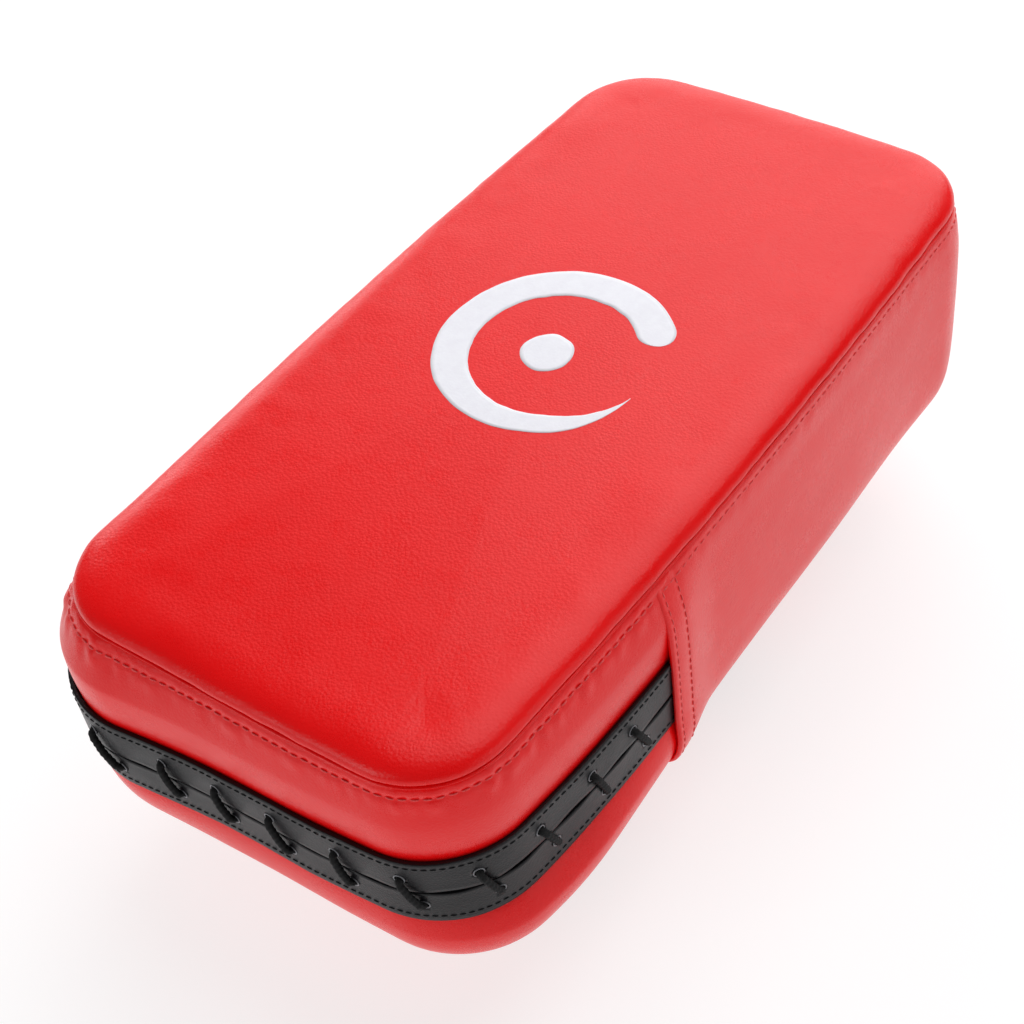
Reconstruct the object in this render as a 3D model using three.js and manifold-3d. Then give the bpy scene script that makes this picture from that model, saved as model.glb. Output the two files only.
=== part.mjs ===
// Thai pad (kick pad): a laced, foam-filled leather cover with two forearm straps
// and a hand grip on its back. Millimetres, +Z up, lying face up on its straps.
// X runs across the pad, Y along it, with the laced end at -Y.

import * as THREE from 'three';
import { mergeVertices } from 'three/addons/utils/BufferGeometryUtils.js';
import Module from 'manifold-3d';

const wasm = await Module();
wasm.setup();

// ---------------------------------------------------------------- driving dimensions

const HALF_WIDTH = 95;
const HALF_LENGTH = 190;
const CORNER_R = 36;
const BOW = THREE.MathUtils.degToRad(2.6);   // half angle of the shallow side and end arcs
const BODY_T = 108;                          // face seam to back panel
const CROWN = 9;                             // rise of the face above its seam
const BACK_Z = 48;                           // outside of the back panel, over the floor
const SEAM_Z = BACK_Z + BODY_T;
const GAP = 0.3;                             // between neighbouring solids

const SKIN_T = 2.4;                          // leather with its foam lining
const FACE_T = 2;
const BOTTOM_R = 14;                         // rounded edge between sides and back
const BACK_INSET = 19.6;                     // where the side leather ends on the back
const WELT_R = 1;
const BEAD_R = 1.1;

const BAND_MID = SEAM_Z - 57;                // centre height of the black lacing band
const BAND_HALF = 17.5;
const STRIP_T = 2;
const STRIP_N = GAP;                         // inner face of the strips, out from the cover
const STRIP_LAP = 6;                         // strips over the red gussets
const STRIP_SLIT = 1;                        // between the two strips
const HOLE_Z = 9;                            // lace holes above and below the band's centre
const HOLE_R = 2.7;

const LACE_R = 1.3;
const LACE_PITCH = 26;
const LACE_SLANT = 10;                       // along the band, from upper to lower hole
const LACE_COUNT = 14;
const LACE_FIRST = -163;                     // rim distance of the first lower hole
const LACE_REACH = 2.8;                      // lace centre from the middle of the strip
const LACE_TAIL = 7;                         // from the last turn of the lace to its knot
const KNOT_R = 2.1;
const KNOT_SINK = 0.6;                       // the knots lie this much deeper than the lace

const HEM_S = 193;                           // rim distance of the side panel's hem
const HEM_LIFT = 2.6;                        // side panel over the ends of the lacing
const HEM_HOLD = 18;                         // how far the panel stays lifted
const HEM_FADE = 25;                         // and how far it takes to settle
const STRIP_RUN = 12;                        // strips under the side panel
const GUSSET_RUN = 14;                       // upper gusset under the side panel

const FOAM_INSET = 4.8;
const FOAM_BOTTOM = BACK_Z + 5.4;
const FOAM_SPLITS = [84, 122];

const EMBLEM_R = 46;
const EMBLEM_STROKE = 13;
const EMBLEM_T = 0.4;
const DOT_R = 11;

const STRAP_W = 48;
const STRAP_T = 2.2;
const STRAP_Y = { near: -103, far: 8 };
const LOOP_T = 1.4;
const HOOK_T = 1.2;
const TAPE_W = 42;
const FLAP_END = 42;
const ANCHOR_X = 78;                         // outer edge of everything sewn to the back
const RIGHT_DROP_X = 55;                     // where the strap turns down from the back
const PATCH_T = 1.2;
const PATCH_L = 60;

const RING_BAR = 4;
const RING_T = 3;
const RING_SPAN = 28;                        // between the centres of the two long bars
const RING_L = 64;
const RING_LEAN = THREE.MathUtils.degToRad(65);
const TAB_X = -54;                           // centre of the ring's upper bar
const TAB_R = 3.8;                           // middle of the tab webbing round the bar
const TAB_T = 1.8;
const TAB_W = 44;
const WRAP_R = 5.8;                          // middle of the strap round the lower bar

const GRIP_Y = 115;
const GRIP_Z = 15;
const GRIP_R = 13;
const GRIP_L = 84;
const GRIP_COVER_T = 1.2;
const GRIP_WEB_W = 20;
const GRIP_WEB_T = 2.2;
const GRIP_PATCH_W = 36;
const RIVET_X = 63;
const RIVET_Y = 5;
const RIVET_HEAD_R = 4.2;
const RIVET_SHANK_R = 2.2;
const WASHER_R = 4.6;
const WASHER_T = 1;

const CENTRE_Y = 2.3;                        // the lacing stands proud at the near end only

// ---------------------------------------------------------------- materials

function finish(color, roughness, metalness = 0) {
  return new THREE.MeshStandardMaterial({ color, roughness, metalness });
}

const redLeather = finish(0xd8282c, 0.42);
const blackLeather = finish(0x1c1b1d, 0.4);
const whitePrint = finish(0xf2f2fa, 0.5);
const cordBlack = finish(0x121212, 0.8);
const webbingBlack = finish(0x18181a, 0.85);
const tapeBlack = finish(0x202022, 0.95);
const foamGrey = finish(0x8f9196, 0.9);
const steel = finish(0xc8c8cc, 0.25, 1);

// ---------------------------------------------------------------- the pad's outline

// A rounded rectangle whose sides and ends are shallow arcs, tangent to the corner arcs.
function pillowArcs() {
  const c = Math.cos(BOW);
  const s = Math.sin(BOW);
  const det = (1 - c) ** 2 - s ** 2;
  const across = HALF_WIDTH - CORNER_R * c + CORNER_R * s;
  const along = HALF_LENGTH + CORNER_R * s - CORNER_R * c;
  const sideR = ((1 - c) * across - s * along) / det;
  const endR = ((1 - c) * along - s * across) / det;
  const cornerX = (endR - CORNER_R) * s;
  const cornerY = (sideR - CORNER_R) * s;
  const right = Math.PI / 2;
  return [
    { x: 0, y: endR - HALF_LENGTH, r: endR, from: -right, to: BOW - right, steps: 2 },
    { x: cornerX, y: -cornerY, r: CORNER_R, from: BOW - right, to: -BOW, steps: 6 },
    { x: HALF_WIDTH - sideR, y: 0, r: sideR, from: -BOW, to: BOW, steps: 6 },
    { x: cornerX, y: cornerY, r: CORNER_R, from: BOW, to: right - BOW, steps: 6 },
    { x: 0, y: HALF_LENGTH - endR, r: endR, from: right - BOW, to: right, steps: 2 },
  ];
}

const ARCS = pillowArcs();
const arcLength = (arc) => arc.r * (arc.to - arc.from);
const HALF_RIM = ARCS.reduce((sum, arc) => sum + arcLength(arc), 0);

// Rim distances of the outline's own corners and subdivisions, from near centre to far centre.
function halfMarks() {
  const marks = [0];
  let start = 0;
  for (const arc of ARCS) {
    for (let i = 1; i <= arc.steps; i += 1) marks.push(start + (arcLength(arc) * i) / arc.steps);
    start += arcLength(arc);
  }
  return marks;
}

const MARKS = halfMarks();

// Rim distance is 0 at the middle of the near end and grows towards +X.
function rim(distance) {
  const lap = 2 * HALF_RIM;
  const wrapped = distance - lap * Math.round(distance / lap);
  const side = wrapped < 0 ? -1 : 1;
  let rest = Math.abs(wrapped);
  let arc = ARCS[0];
  for (const next of ARCS) {
    arc = next;
    if (rest <= arcLength(arc)) break;
    if (arc !== ARCS[ARCS.length - 1]) rest -= arcLength(arc);
  }
  const angle = arc.from + rest / arc.r;
  const nx = Math.cos(angle);
  const ny = Math.sin(angle);
  return { x: side * (arc.x + arc.r * nx), y: arc.y + arc.r * ny, nx: side * nx, ny };
}

// A point n outside the outline, at height z.
function place(distance, n, z) {
  const at = rim(distance);
  return new THREE.Vector3(at.x + n * at.nx, at.y + n * at.ny, z);
}

function wholeRim() {
  const right = MARKS.slice(0, -1);
  const left = MARKS.slice(1).map((mark) => 2 * HALF_RIM - mark).reverse();
  return [...right, ...left];
}

// Rim distances between two given ones, the ends included; `extra` adds more of them.
function stretch(from, to, extra = []) {
  const lap = 2 * HALF_RIM;
  const all = MARKS.flatMap((mark) => [mark, -mark, lap - mark]).concat(extra);
  const inside = all.filter((mark) => mark > from + 1 && mark < to - 1).sort((a, b) => a - b);
  const spaced = inside.filter((mark, i) => i === 0 || mark - inside[i - 1] > 1);
  return [from, ...spaced, to];
}

// ---------------------------------------------------------------- solids

function signedVolume(positions, faces) {
  const [a, b, c] = [new THREE.Vector3(), new THREE.Vector3(), new THREE.Vector3()];
  let volume = 0;
  for (let i = 0; i < faces.length; i += 3) {
    a.copy(positions[faces[i]]);
    b.copy(positions[faces[i + 1]]);
    c.copy(positions[faces[i + 2]]);
    volume += a.dot(b.cross(c));
  }
  return volume;
}

// A skin over a row of rings; with `cap`, its 2-D outline closes both ends, and
// without it the last ring joins the first.
function loft(rings, cap) {
  const count = rings[0].length;
  const positions = rings.flat();
  const faces = [];
  const spans = cap ? rings.length - 1 : rings.length;
  for (let i = 0; i < spans; i += 1) {
    const next = (i + 1) % rings.length;
    for (let j = 0; j < count; j += 1) {
      const k = (j + 1) % count;
      const [a, b, c, d] = [i * count + j, i * count + k, next * count + k, next * count + j];
      faces.push(a, b, c, a, c, d);
    }
  }
  if (cap) addCaps(faces, rings, cap);
  if (signedVolume(positions, faces) < 0) faces.reverse();
  const geometry = new THREE.BufferGeometry().setFromPoints(positions);
  geometry.setIndex(faces);
  return geometry;
}

// Each triangle is turned to run the way of the ring; the first cap then faces back.
function addCaps(faces, rings, cap) {
  const last = (rings.length - 1) * rings[0].length;
  const way = Math.sign(THREE.ShapeUtils.area(cap));
  for (const triangle of THREE.ShapeUtils.triangulateShape(cap, [])) {
    const same = Math.sign(THREE.ShapeUtils.area(triangle.map((i) => cap[i]))) === way;
    const [a, b, c] = same ? triangle : [...triangle].reverse();
    faces.push(c, b, a, last + a, last + b, last + c);
  }
}

// A profile of [n, z] points carried along the rim.
function sweep(profileAt, distances, closed = false) {
  const rings = distances.map((s) => profileAt(s).map(([n, z]) => place(s, n, z)));
  const cap = profileAt(distances[0]).map(([n, z]) => new THREE.Vector2(n, z));
  return loft(rings, closed ? null : cap);
}

// A stack of outlines, each [inset, z], closed by flat ends.
function stack(levels) {
  const distances = wholeRim();
  const rings = levels.map(([inset, z]) => distances.map((s) => place(s, -inset, z)));
  const cap = rings[0].map((point) => new THREE.Vector2(point.x, point.y));
  return loft(rings, cap);
}

// A strip of even thickness along a path in the XZ plane, extruded along Y.
function ribbon(path, thickness, width, y) {
  const points = path.getPoints(5).filter((p, i, all) => i === 0 || p.distanceTo(all[i - 1]) > 0.05);
  const sides = points.map((point, i) => {
    const before = points[Math.max(i - 1, 0)];
    const after = points[Math.min(i + 1, points.length - 1)];
    const into = point.clone().sub(before).normalize();
    const out = after.clone().sub(point).normalize();
    const along = into.clone().add(out).normalize();
    const reach = i > 0 && i < points.length - 1 ? 1 / Math.sqrt((1 + into.dot(out)) / 2) : 1;
    return new THREE.Vector2(-along.y, along.x).multiplyScalar((thickness / 2) * reach);
  });
  const upper = points.map((point, i) => point.clone().add(sides[i]));
  const lower = points.map((point, i) => point.clone().sub(sides[i])).reverse();
  const shape = new THREE.Shape([...upper, ...lower]);
  return standing(new THREE.ExtrudeGeometry(shape, { depth: width, bevelEnabled: false }), y, width);
}

// Turns an extrusion drawn in X and Z so that its depth lies along Y, centred on y.
function standing(geometry, y, depth) {
  geometry.rotateX(Math.PI / 2);
  geometry.translate(0, y + depth / 2, 0);
  return geometry;
}

function plate(x0, x1, y, width, z0, z1, corner = 3) {
  const shape = roundedRectangle((x0 + x1) / 2, y, x1 - x0, width, corner);
  const geometry = new THREE.ExtrudeGeometry(shape, {
    depth: z1 - z0, bevelEnabled: false, curveSegments: 3,
  });
  geometry.translate(0, 0, z0);
  return geometry;
}

function roundedRectangle(x, y, width, height, r) {
  const [w, h] = [width / 2, height / 2];
  const shape = new THREE.Shape();
  shape.absarc(x + w - r, y + h - r, r, 0, Math.PI / 2);
  shape.absarc(x - w + r, y + h - r, r, Math.PI / 2, Math.PI);
  shape.absarc(x - w + r, y - h + r, r, Math.PI, 1.5 * Math.PI);
  shape.absarc(x + w - r, y - h + r, r, 1.5 * Math.PI, 2 * Math.PI);
  return shape;
}

function toManifold(geometry) {
  const bare = geometry.clone();
  bare.deleteAttribute('normal');
  bare.deleteAttribute('uv');
  const merged = mergeVertices(bare, 1e-4);
  const vertProperties = new Float32Array(merged.attributes.position.array);
  const triVerts = new Uint32Array(merged.index.array);
  return new wasm.Manifold(new wasm.Mesh({ numProp: 3, vertProperties, triVerts }));
}

function fromManifold(solid) {
  const mesh = solid.getMesh();
  const geometry = new THREE.BufferGeometry();
  geometry.setAttribute('position', new THREE.BufferAttribute(mesh.vertProperties, 3));
  geometry.setIndex(new THREE.BufferAttribute(mesh.triVerts, 1));
  return geometry;
}

function drilled(geometry, drills) {
  return fromManifold(drills.reduce((solid, drill) => solid.subtract(toManifold(drill)), toManifold(geometry)));
}

function uprightDrill(x, y, z, r, length) {
  return new THREE.CylinderGeometry(r, r, length, 8).rotateX(Math.PI / 2).translate(x, y, z);
}

// ---------------------------------------------------------------- the group

const pad = new THREE.Group();

function add(name, geometry, material) {
  const mesh = new THREE.Mesh(geometry, material);
  mesh.name = name;
  pad.add(mesh);
}

// ---------------------------------------------------------------- face, welt and foams

// Rise of the face over its seam, as [inset, rise]: a tight roll, then nearly flat.
const FACE_ROLL = [[0, 1.3], [1.2, 3.2], [4, 5.6], [10, 7.4], [20, 8.5], [32, CROWN]];

function facePanel() {
  const outer = FACE_ROLL.map(([inset, rise]) => [inset, SEAM_Z + rise]).reverse();
  const inner = FACE_ROLL.map(([inset, rise]) => [inset + FACE_T, SEAM_Z + Math.max(rise - FACE_T, 1.3)]);
  inner[0][1] = SEAM_Z + FACE_ROLL[0][1];
  inner[1][1] = SEAM_Z + FACE_ROLL[1][1] - 1;
  return stack([...outer, ...inner]);
}

function frontFoam() {
  const top = [[FOAM_INSET, -2], [7, 1.6], [14, 4.4], [26, 5.8], [36, 6.5]];
  return stack([
    [FOAM_INSET, FOAM_SPLITS[1] + GAP],
    ...top.map(([inset, rise]) => [inset, SEAM_Z + rise]),
  ]);
}

const bead = (n, z, r, turn = 0) => {
  const corners = [0, 1, 2, 3, 4, 5];
  return corners.map((i) => [
    n + r * Math.cos((i * Math.PI) / 3 + turn),
    z + r * Math.sin((i * Math.PI) / 3 + turn),
  ]);
};

function addFaceAndFoams() {
  add('face_panel', facePanel(), redLeather);
  add('face_welt', sweep(() => bead(-0.2, SEAM_Z, WELT_R), wholeRim(), true), redLeather);
  add('foam_front', frontFoam(), foamGrey);
  const [low, high] = FOAM_SPLITS;
  add('foam_middle', stack([[FOAM_INSET, low + GAP], [FOAM_INSET, high]]), foamGrey);
  const back = [[8.5, FOAM_BOTTOM], [6.2, FOAM_BOTTOM + 3.6], [FOAM_INSET, BACK_Z + BOTTOM_R], [FOAM_INSET, low]];
  add('foam_back', stack(back), foamGrey);
}

// ---------------------------------------------------------------- printed mark

// A plain ring, open at one place, round a dot: a strike target.
function addEmblem() {
  const z = SEAM_Z + CROWN + GAP;
  const open = Math.PI / 7;
  const inner = EMBLEM_R - EMBLEM_STROKE;
  const ring = new THREE.Shape();
  ring.absarc(0, 0, EMBLEM_R, open, 2 * Math.PI - open);
  ring.absarc(0, 0, inner, 2 * Math.PI - open, open, true);
  const options = { depth: EMBLEM_T, bevelEnabled: false, curveSegments: 20 };
  add('mark_ring', new THREE.ExtrudeGeometry(ring, options).translate(0, 0, z), whitePrint);
  const dot = new THREE.CylinderGeometry(DOT_R, DOT_R, EMBLEM_T, 16).rotateX(Math.PI / 2);
  add('mark_dot', dot.translate(0, 0, z + EMBLEM_T / 2), whitePrint);
}

// ---------------------------------------------------------------- cover sides

// Quarter turn from the side to the back, `inside` the outer surface; `lift` moves its
// upper end outwards.
function bottomTurn(inside, lift, steps = 3) {
  const points = [];
  for (let i = 0; i <= steps; i += 1) {
    const angle = (i / steps) * (Math.PI / 2);
    const out = (BOTTOM_R - inside + lift) * Math.cos(angle);
    points.push([out - BOTTOM_R, BACK_Z + BOTTOM_R - (BOTTOM_R - inside) * Math.sin(angle)]);
  }
  return points;
}

// A side wall from `top` down, turned under and ending on the back.
function wallProfile(top, lift) {
  const outer = bottomTurn(0, lift);
  const inner = bottomTurn(SKIN_T, lift).reverse();
  const underside = [[-BACK_INSET, BACK_Z], [-BACK_INSET, BACK_Z + SKIN_T]];
  return [[lift, top], ...outer, ...underside, ...inner, [lift - SKIN_T, top]];
}

// The side panel stands off the cover at its hems, where the lacing's ends lie under it.
function hemLift(distance) {
  const fromHem = Math.min(distance - HEM_S, 2 * HALF_RIM - HEM_S - distance);
  const settled = THREE.MathUtils.smoothstep(fromHem, HEM_HOLD, HEM_HOLD + HEM_FADE);
  return (HEM_LIFT + SKIN_T) * (1 - settled);
}

function addCoverSides() {
  const top = SEAM_Z - FACE_ROLL[0][1];
  const upperEdge = BAND_MID + BAND_HALF - STRIP_LAP;
  const upper = [[0, top], [0, upperEdge], [-SKIN_T, upperEdge], [-SKIN_T, top]];
  const upperRun = stretch(-HEM_S - GUSSET_RUN, HEM_S + GUSSET_RUN);
  add('upper_gusset', sweep(() => upper, upperRun), redLeather);
  const lowerEdge = BAND_MID - BAND_HALF + STRIP_LAP;
  const lowerRun = stretch(GAP - HEM_S, HEM_S - GAP);
  add('lower_gusset', sweep(() => wallProfile(lowerEdge, 0), lowerRun), redLeather);
  const fades = [HEM_HOLD, HEM_HOLD + HEM_FADE / 3, HEM_HOLD + (2 * HEM_FADE) / 3, HEM_HOLD + HEM_FADE];
  const marks = fades.flatMap((run) => [HEM_S + run, 2 * HALF_RIM - HEM_S - run]);
  const around = stretch(HEM_S, 2 * HALF_RIM - HEM_S, marks);
  add('side_panel', sweep((s) => wallProfile(top, hemLift(s)), around), redLeather);
}

function addBack() {
  const beadInset = BACK_INSET + GAP + BEAD_R;
  const beadZ = BACK_Z + SKIN_T / 2;
  add('back_welt', sweep(() => bead(-beadInset, beadZ, BEAD_R), wholeRim(), true), redLeather);
  const edge = beadInset + BEAD_R + GAP;
  const flat = stack([[edge, BACK_Z], [edge, BACK_Z + SKIN_T]]);
  add('back_panel', drilled(flat, rivetDrills(BACK_Z)), redLeather);
}

// ---------------------------------------------------------------- lacing

const lowerHole = (i) => LACE_FIRST + i * LACE_PITCH;
const upperHole = (i) => lowerHole(i) - LACE_SLANT;

function strip(z0, z1, holeAt, holeZ) {
  const ends = HEM_S + STRIP_RUN;
  const outer = STRIP_N + STRIP_T;
  const profile = [[STRIP_N, z0], [outer, z0], [outer, z1], [STRIP_N, z1]];
  const body = sweep(() => profile, stretch(-ends, ends));
  const drills = [];
  for (let i = 0; i < LACE_COUNT; i += 1) {
    const at = rim(holeAt(i));
    const centre = place(holeAt(i), STRIP_N + STRIP_T / 2, holeZ);
    const drill = new THREE.CylinderGeometry(HOLE_R, HOLE_R, 4 * STRIP_T, 8);
    drill.applyQuaternion(new THREE.Quaternion().setFromUnitVectors(
      new THREE.Vector3(0, 1, 0), new THREE.Vector3(at.nx, at.ny, 0),
    ));
    drills.push(drill.translate(centre.x, centre.y, centre.z));
  }
  return drilled(body, drills);
}

// Quarter turns of the lace into and out of a hole. `way` is its run along the strip,
// [along, up], and `side` is 1 outside the strips and -1 inside them.
function laceTurn(hole, way, side, leaving) {
  const angles = leaving ? [0, 45, 90] : [90, 45];
  return angles.map((degrees) => {
    const angle = THREE.MathUtils.degToRad(degrees);
    const back = LACE_REACH * (1 - Math.cos(angle)) * (leaving ? 1 : -1);
    return [hole[0] + way[0] * back, hole[1] + way[1] * back, side * LACE_REACH * Math.sin(angle)];
  });
}

// Points between two others, so that a straight run of the lace follows the pad round.
function laceRun(from, to, parts) {
  const points = [];
  for (let i = 1; i < parts; i += 1) {
    points.push(from.map((value, axis) => value + ((to[axis] - value) * i) / parts));
  }
  return points;
}

// The lace as [rim distance, height over the band's centre, distance from the strip's middle].
function laceRoute() {
  const route = [];
  const inner = new THREE.Vector2(LACE_PITCH - LACE_SLANT, 2 * HOLE_Z).normalize().toArray();
  const outer = new THREE.Vector2(LACE_SLANT, -2 * HOLE_Z).normalize().toArray();
  for (let i = 0; i < LACE_COUNT; i += 1) {
    const up = [upperHole(i), HOLE_Z];
    const down = [lowerHole(i), -HOLE_Z];
    if (i > 0) route.push(...laceRun(route[route.length - 1], laceTurn(up, inner, -1, false)[0], 3));
    route.push(...laceTurn(up, inner, -1, false), ...laceTurn(up, outer, 1, true));
    route.push(...laceRun(route[route.length - 1], laceTurn(down, outer, 1, false)[0], 2));
    route.push(...laceTurn(down, outer, 1, false), ...laceTurn(down, inner, -1, true));
  }
  const [first, last] = [route[0], route[route.length - 1]];
  const tail = [LACE_TAIL * inner[0], LACE_TAIL * inner[1], KNOT_SINK];
  route.unshift([first[0] - tail[0], first[1] - tail[1], first[2] - tail[2]]);
  route.push([last[0] + tail[0], last[1] + tail[1], last[2] - tail[2]]);
  return route;
}

// The lace's centre line; its stations are its own points, close together at each hole.
class LaceLine extends THREE.Curve {
  constructor(points) {
    super();
    this.points = points;
  }

  getPoint(t, target = new THREE.Vector3()) {
    const at = THREE.MathUtils.clamp(t, 0, 1) * (this.points.length - 1);
    const i = Math.min(Math.floor(at), this.points.length - 2);
    return target.lerpVectors(this.points[i], this.points[i + 1], at - i);
  }

  getPointAt(u, target) {
    return this.getPoint(u, target);
  }

  getTangentAt(u, target) {
    return this.getTangent(u, target);
  }
}

function lace() {
  const middle = STRIP_N + STRIP_T / 2;
  const points = laceRoute().map(([s, up, n]) => place(s, middle + n, BAND_MID + up));
  const section = new THREE.Shape();
  for (let i = 0; i < 6; i += 1) {
    const angle = (i * Math.PI) / 3;
    const method = i === 0 ? 'moveTo' : 'lineTo';
    section[method](LACE_R * Math.cos(angle), LACE_R * Math.sin(angle));
  }
  const extrudePath = new LaceLine(points);
  const cord = new THREE.ExtrudeGeometry(section, { steps: points.length - 1, extrudePath });
  const knots = [points[0], points[points.length - 1]].map((end) => {
    return new THREE.SphereGeometry(KNOT_R, 8, 6).translate(end.x, end.y, end.z);
  });
  const joined = knots.reduce((solid, knot) => solid.add(toManifold(knot)), toManifold(cord));
  return fromManifold(joined);
}

function addLacing() {
  const slit = STRIP_SLIT / 2;
  const upper = strip(BAND_MID + slit, BAND_MID + BAND_HALF, upperHole, BAND_MID + HOLE_Z);
  const lower = strip(BAND_MID - BAND_HALF, BAND_MID - slit, lowerHole, BAND_MID - HOLE_Z);
  add('upper_lace_strip', upper, blackLeather);
  add('lower_lace_strip', lower, blackLeather);
  add('lace_cord', lace(), cordBlack);
  const reach = BAND_HALF + 4;
  const tongue = [
    [-3.15, BAND_MID - reach], [-3.15, BAND_MID + reach], [-4.4, BAND_MID + reach], [-4.4, BAND_MID - reach],
  ];
  const [from, to] = [upperHole(0) + 4, lowerHole(LACE_COUNT - 1) - 4];
  add('lace_tongue', sweep(() => tongue, stretch(from, to)), blackLeather);
}

// ---------------------------------------------------------------- straps

// The ring leans out from its tab; these are its upper and lower bars in X and Z.
const ringWay = new THREE.Vector2(Math.cos(RING_LEAN), -Math.sin(RING_LEAN));
const armSide = new THREE.Vector2(Math.sin(RING_LEAN), Math.cos(RING_LEAN));
const TAB_TOP = BACK_Z - GAP - TAB_T / 2;
const upperBar = new THREE.Vector2(TAB_X, TAB_TOP - TAB_R);
const lowerBar = upperBar.clone().addScaledVector(ringWay, RING_SPAN);

const FLAP_Z = STRAP_T / 2;
const HOOK_Z = STRAP_T + GAP;
const LOOP_Z = HOOK_Z + HOOK_T + GAP;
const ARM_Z = LOOP_Z + LOOP_T + GAP + STRAP_T / 2;   // middle of the strap under the arm

// Adds a rounded corner to a path that runs from `before` through `corner` towards `after`.
function turn(path, before, corner, after, r) {
  const into = corner.clone().sub(before).normalize();
  const out = after.clone().sub(corner).normalize();
  const bend = Math.sign(into.cross(out));
  const angle = Math.acos(into.dot(out));
  const start = corner.clone().addScaledVector(into, -r * Math.tan(angle / 2));
  const centre = start.clone().add(new THREE.Vector2(-into.y, into.x).multiplyScalar(bend * r));
  const from = Math.atan2(start.y - centre.y, start.x - centre.x);
  path.lineTo(start.x, start.y);
  path.absarc(centre.x, centre.y, r, from, from + bend * angle, bend < 0);
}

// From its sewn end on the right, under the arm and up round the ring's lower bar.
function strapPath() {
  const top = BACK_Z - GAP - STRAP_T / 2;
  const anchor = new THREE.Vector2(ANCHOR_X, top);
  const shoulder = new THREE.Vector2(RIGHT_DROP_X + 4, top);
  const heel = new THREE.Vector2(RIGHT_DROP_X - 4, ARM_Z);
  const leave = lowerBar.clone().addScaledVector(armSide, WRAP_R);
  const run = (ARM_Z - leave.y) / ringWay.y;
  const toe = leave.clone().addScaledVector(ringWay, run);
  const path = new THREE.Path();
  path.moveTo(anchor.x, anchor.y);
  turn(path, anchor, shoulder, heel, 6);
  turn(path, shoulder, heel, toe, 12);
  turn(path, heel, toe, leave, 9);
  path.lineTo(leave.x, leave.y);
  const from = Math.atan2(armSide.y, armSide.x);
  path.absarc(lowerBar.x, lowerBar.y, WRAP_R, from, from + Math.PI, false);
  return path;
}

// From the wrap, down and along under the strap, to its free end.
function flapPath() {
  const leave = lowerBar.clone().addScaledVector(armSide, -WRAP_R);
  const start = leave.clone().addScaledVector(ringWay, GAP);
  const run = (FLAP_Z - leave.y) / ringWay.y;
  const toe = leave.clone().addScaledVector(ringWay, run);
  const path = new THREE.Path();
  path.moveTo(start.x, start.y);
  turn(path, start, toe, new THREE.Vector2(FLAP_END, FLAP_Z), 11);
  path.lineTo(FLAP_END, FLAP_Z);
  return path;
}

function tabPath() {
  const path = new THREE.Path();
  const leg = TAB_TOP - TAB_T - GAP - 0.1;
  path.moveTo(-ANCHOR_X, TAB_TOP);
  path.lineTo(upperBar.x, TAB_TOP);
  path.absarc(upperBar.x, upperBar.y, TAB_R, Math.PI / 2, -0.89 * Math.PI, true);
  path.lineTo(upperBar.x - TAB_R - 2, leg);
  path.lineTo(-ANCHOR_X + 2, leg);
  return path;
}

// A flat rectangular ring, laid along the lean of its tab.
function ringGeometry(y) {
  const outer = roundedRectangle(0, 0, RING_SPAN + RING_BAR, RING_L, 5);
  outer.holes.push(roundedRectangle(0, 0, RING_SPAN - RING_BAR, RING_L - 2 * RING_BAR, 3));
  const geometry = new THREE.ExtrudeGeometry(outer, {
    depth: RING_T, bevelEnabled: false, curveSegments: 3,
  });
  geometry.translate(0, 0, -RING_T / 2);
  geometry.rotateY(RING_LEAN);
  const middle = upperBar.clone().add(lowerBar).multiplyScalar(0.5);
  return geometry.translate(middle.x, y, middle.y);
}

function addStrap(side, y) {
  add(`${side}_strap`, ribbon(strapPath(), STRAP_T, STRAP_W, y), blackLeather);
  add(`${side}_strap_flap`, ribbon(flapPath(), STRAP_T, STRAP_W, y), blackLeather);
  const [tapeStart, tapeEnd] = [lowerBar.x + 26, FLAP_END - 2];
  add(`${side}_loop_tape`, plate(tapeStart, tapeEnd, y, TAPE_W, LOOP_Z, LOOP_Z + LOOP_T), tapeBlack);
  add(`${side}_hook_tape`, plate(tapeStart + 4, tapeEnd, y, TAPE_W, HOOK_Z, HOOK_Z + HOOK_T), tapeBlack);
  add(`${side}_ring`, ringGeometry(y), steel);
  add(`${side}_ring_tab`, ribbon(tabPath(), TAB_T, TAB_W, y), webbingBlack);
  const tabPatchTop = TAB_TOP - 1.5 * TAB_T - 2 * GAP - 0.1;
  const tabPatch = plate(-ANCHOR_X, TAB_X - 7, y, PATCH_L, tabPatchTop - PATCH_T, tabPatchTop);
  add(`${side}_tab_patch`, tabPatch, blackLeather);
  const strapPatchTop = BACK_Z - STRAP_T - 2 * GAP;
  const strapPatch = plate(RIGHT_DROP_X + 9, ANCHOR_X, y, PATCH_L, strapPatchTop - PATCH_T, strapPatchTop);
  add(`${side}_strap_patch`, strapPatch, blackLeather);
}

// ---------------------------------------------------------------- hand grip

function rivetDrills(z) {
  const drills = [];
  for (const x of [-RIVET_X, RIVET_X]) {
    for (const y of [GRIP_Y - RIVET_Y, GRIP_Y + RIVET_Y]) {
      drills.push(uprightDrill(x, y, z, RIVET_SHANK_R + GAP, 20));
    }
  }
  return drills;
}

const GRIP_PATCH_Z = BACK_Z - GAP - PATCH_T;
const GRIP_WEB_TOP = GRIP_PATCH_Z - GAP;

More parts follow.
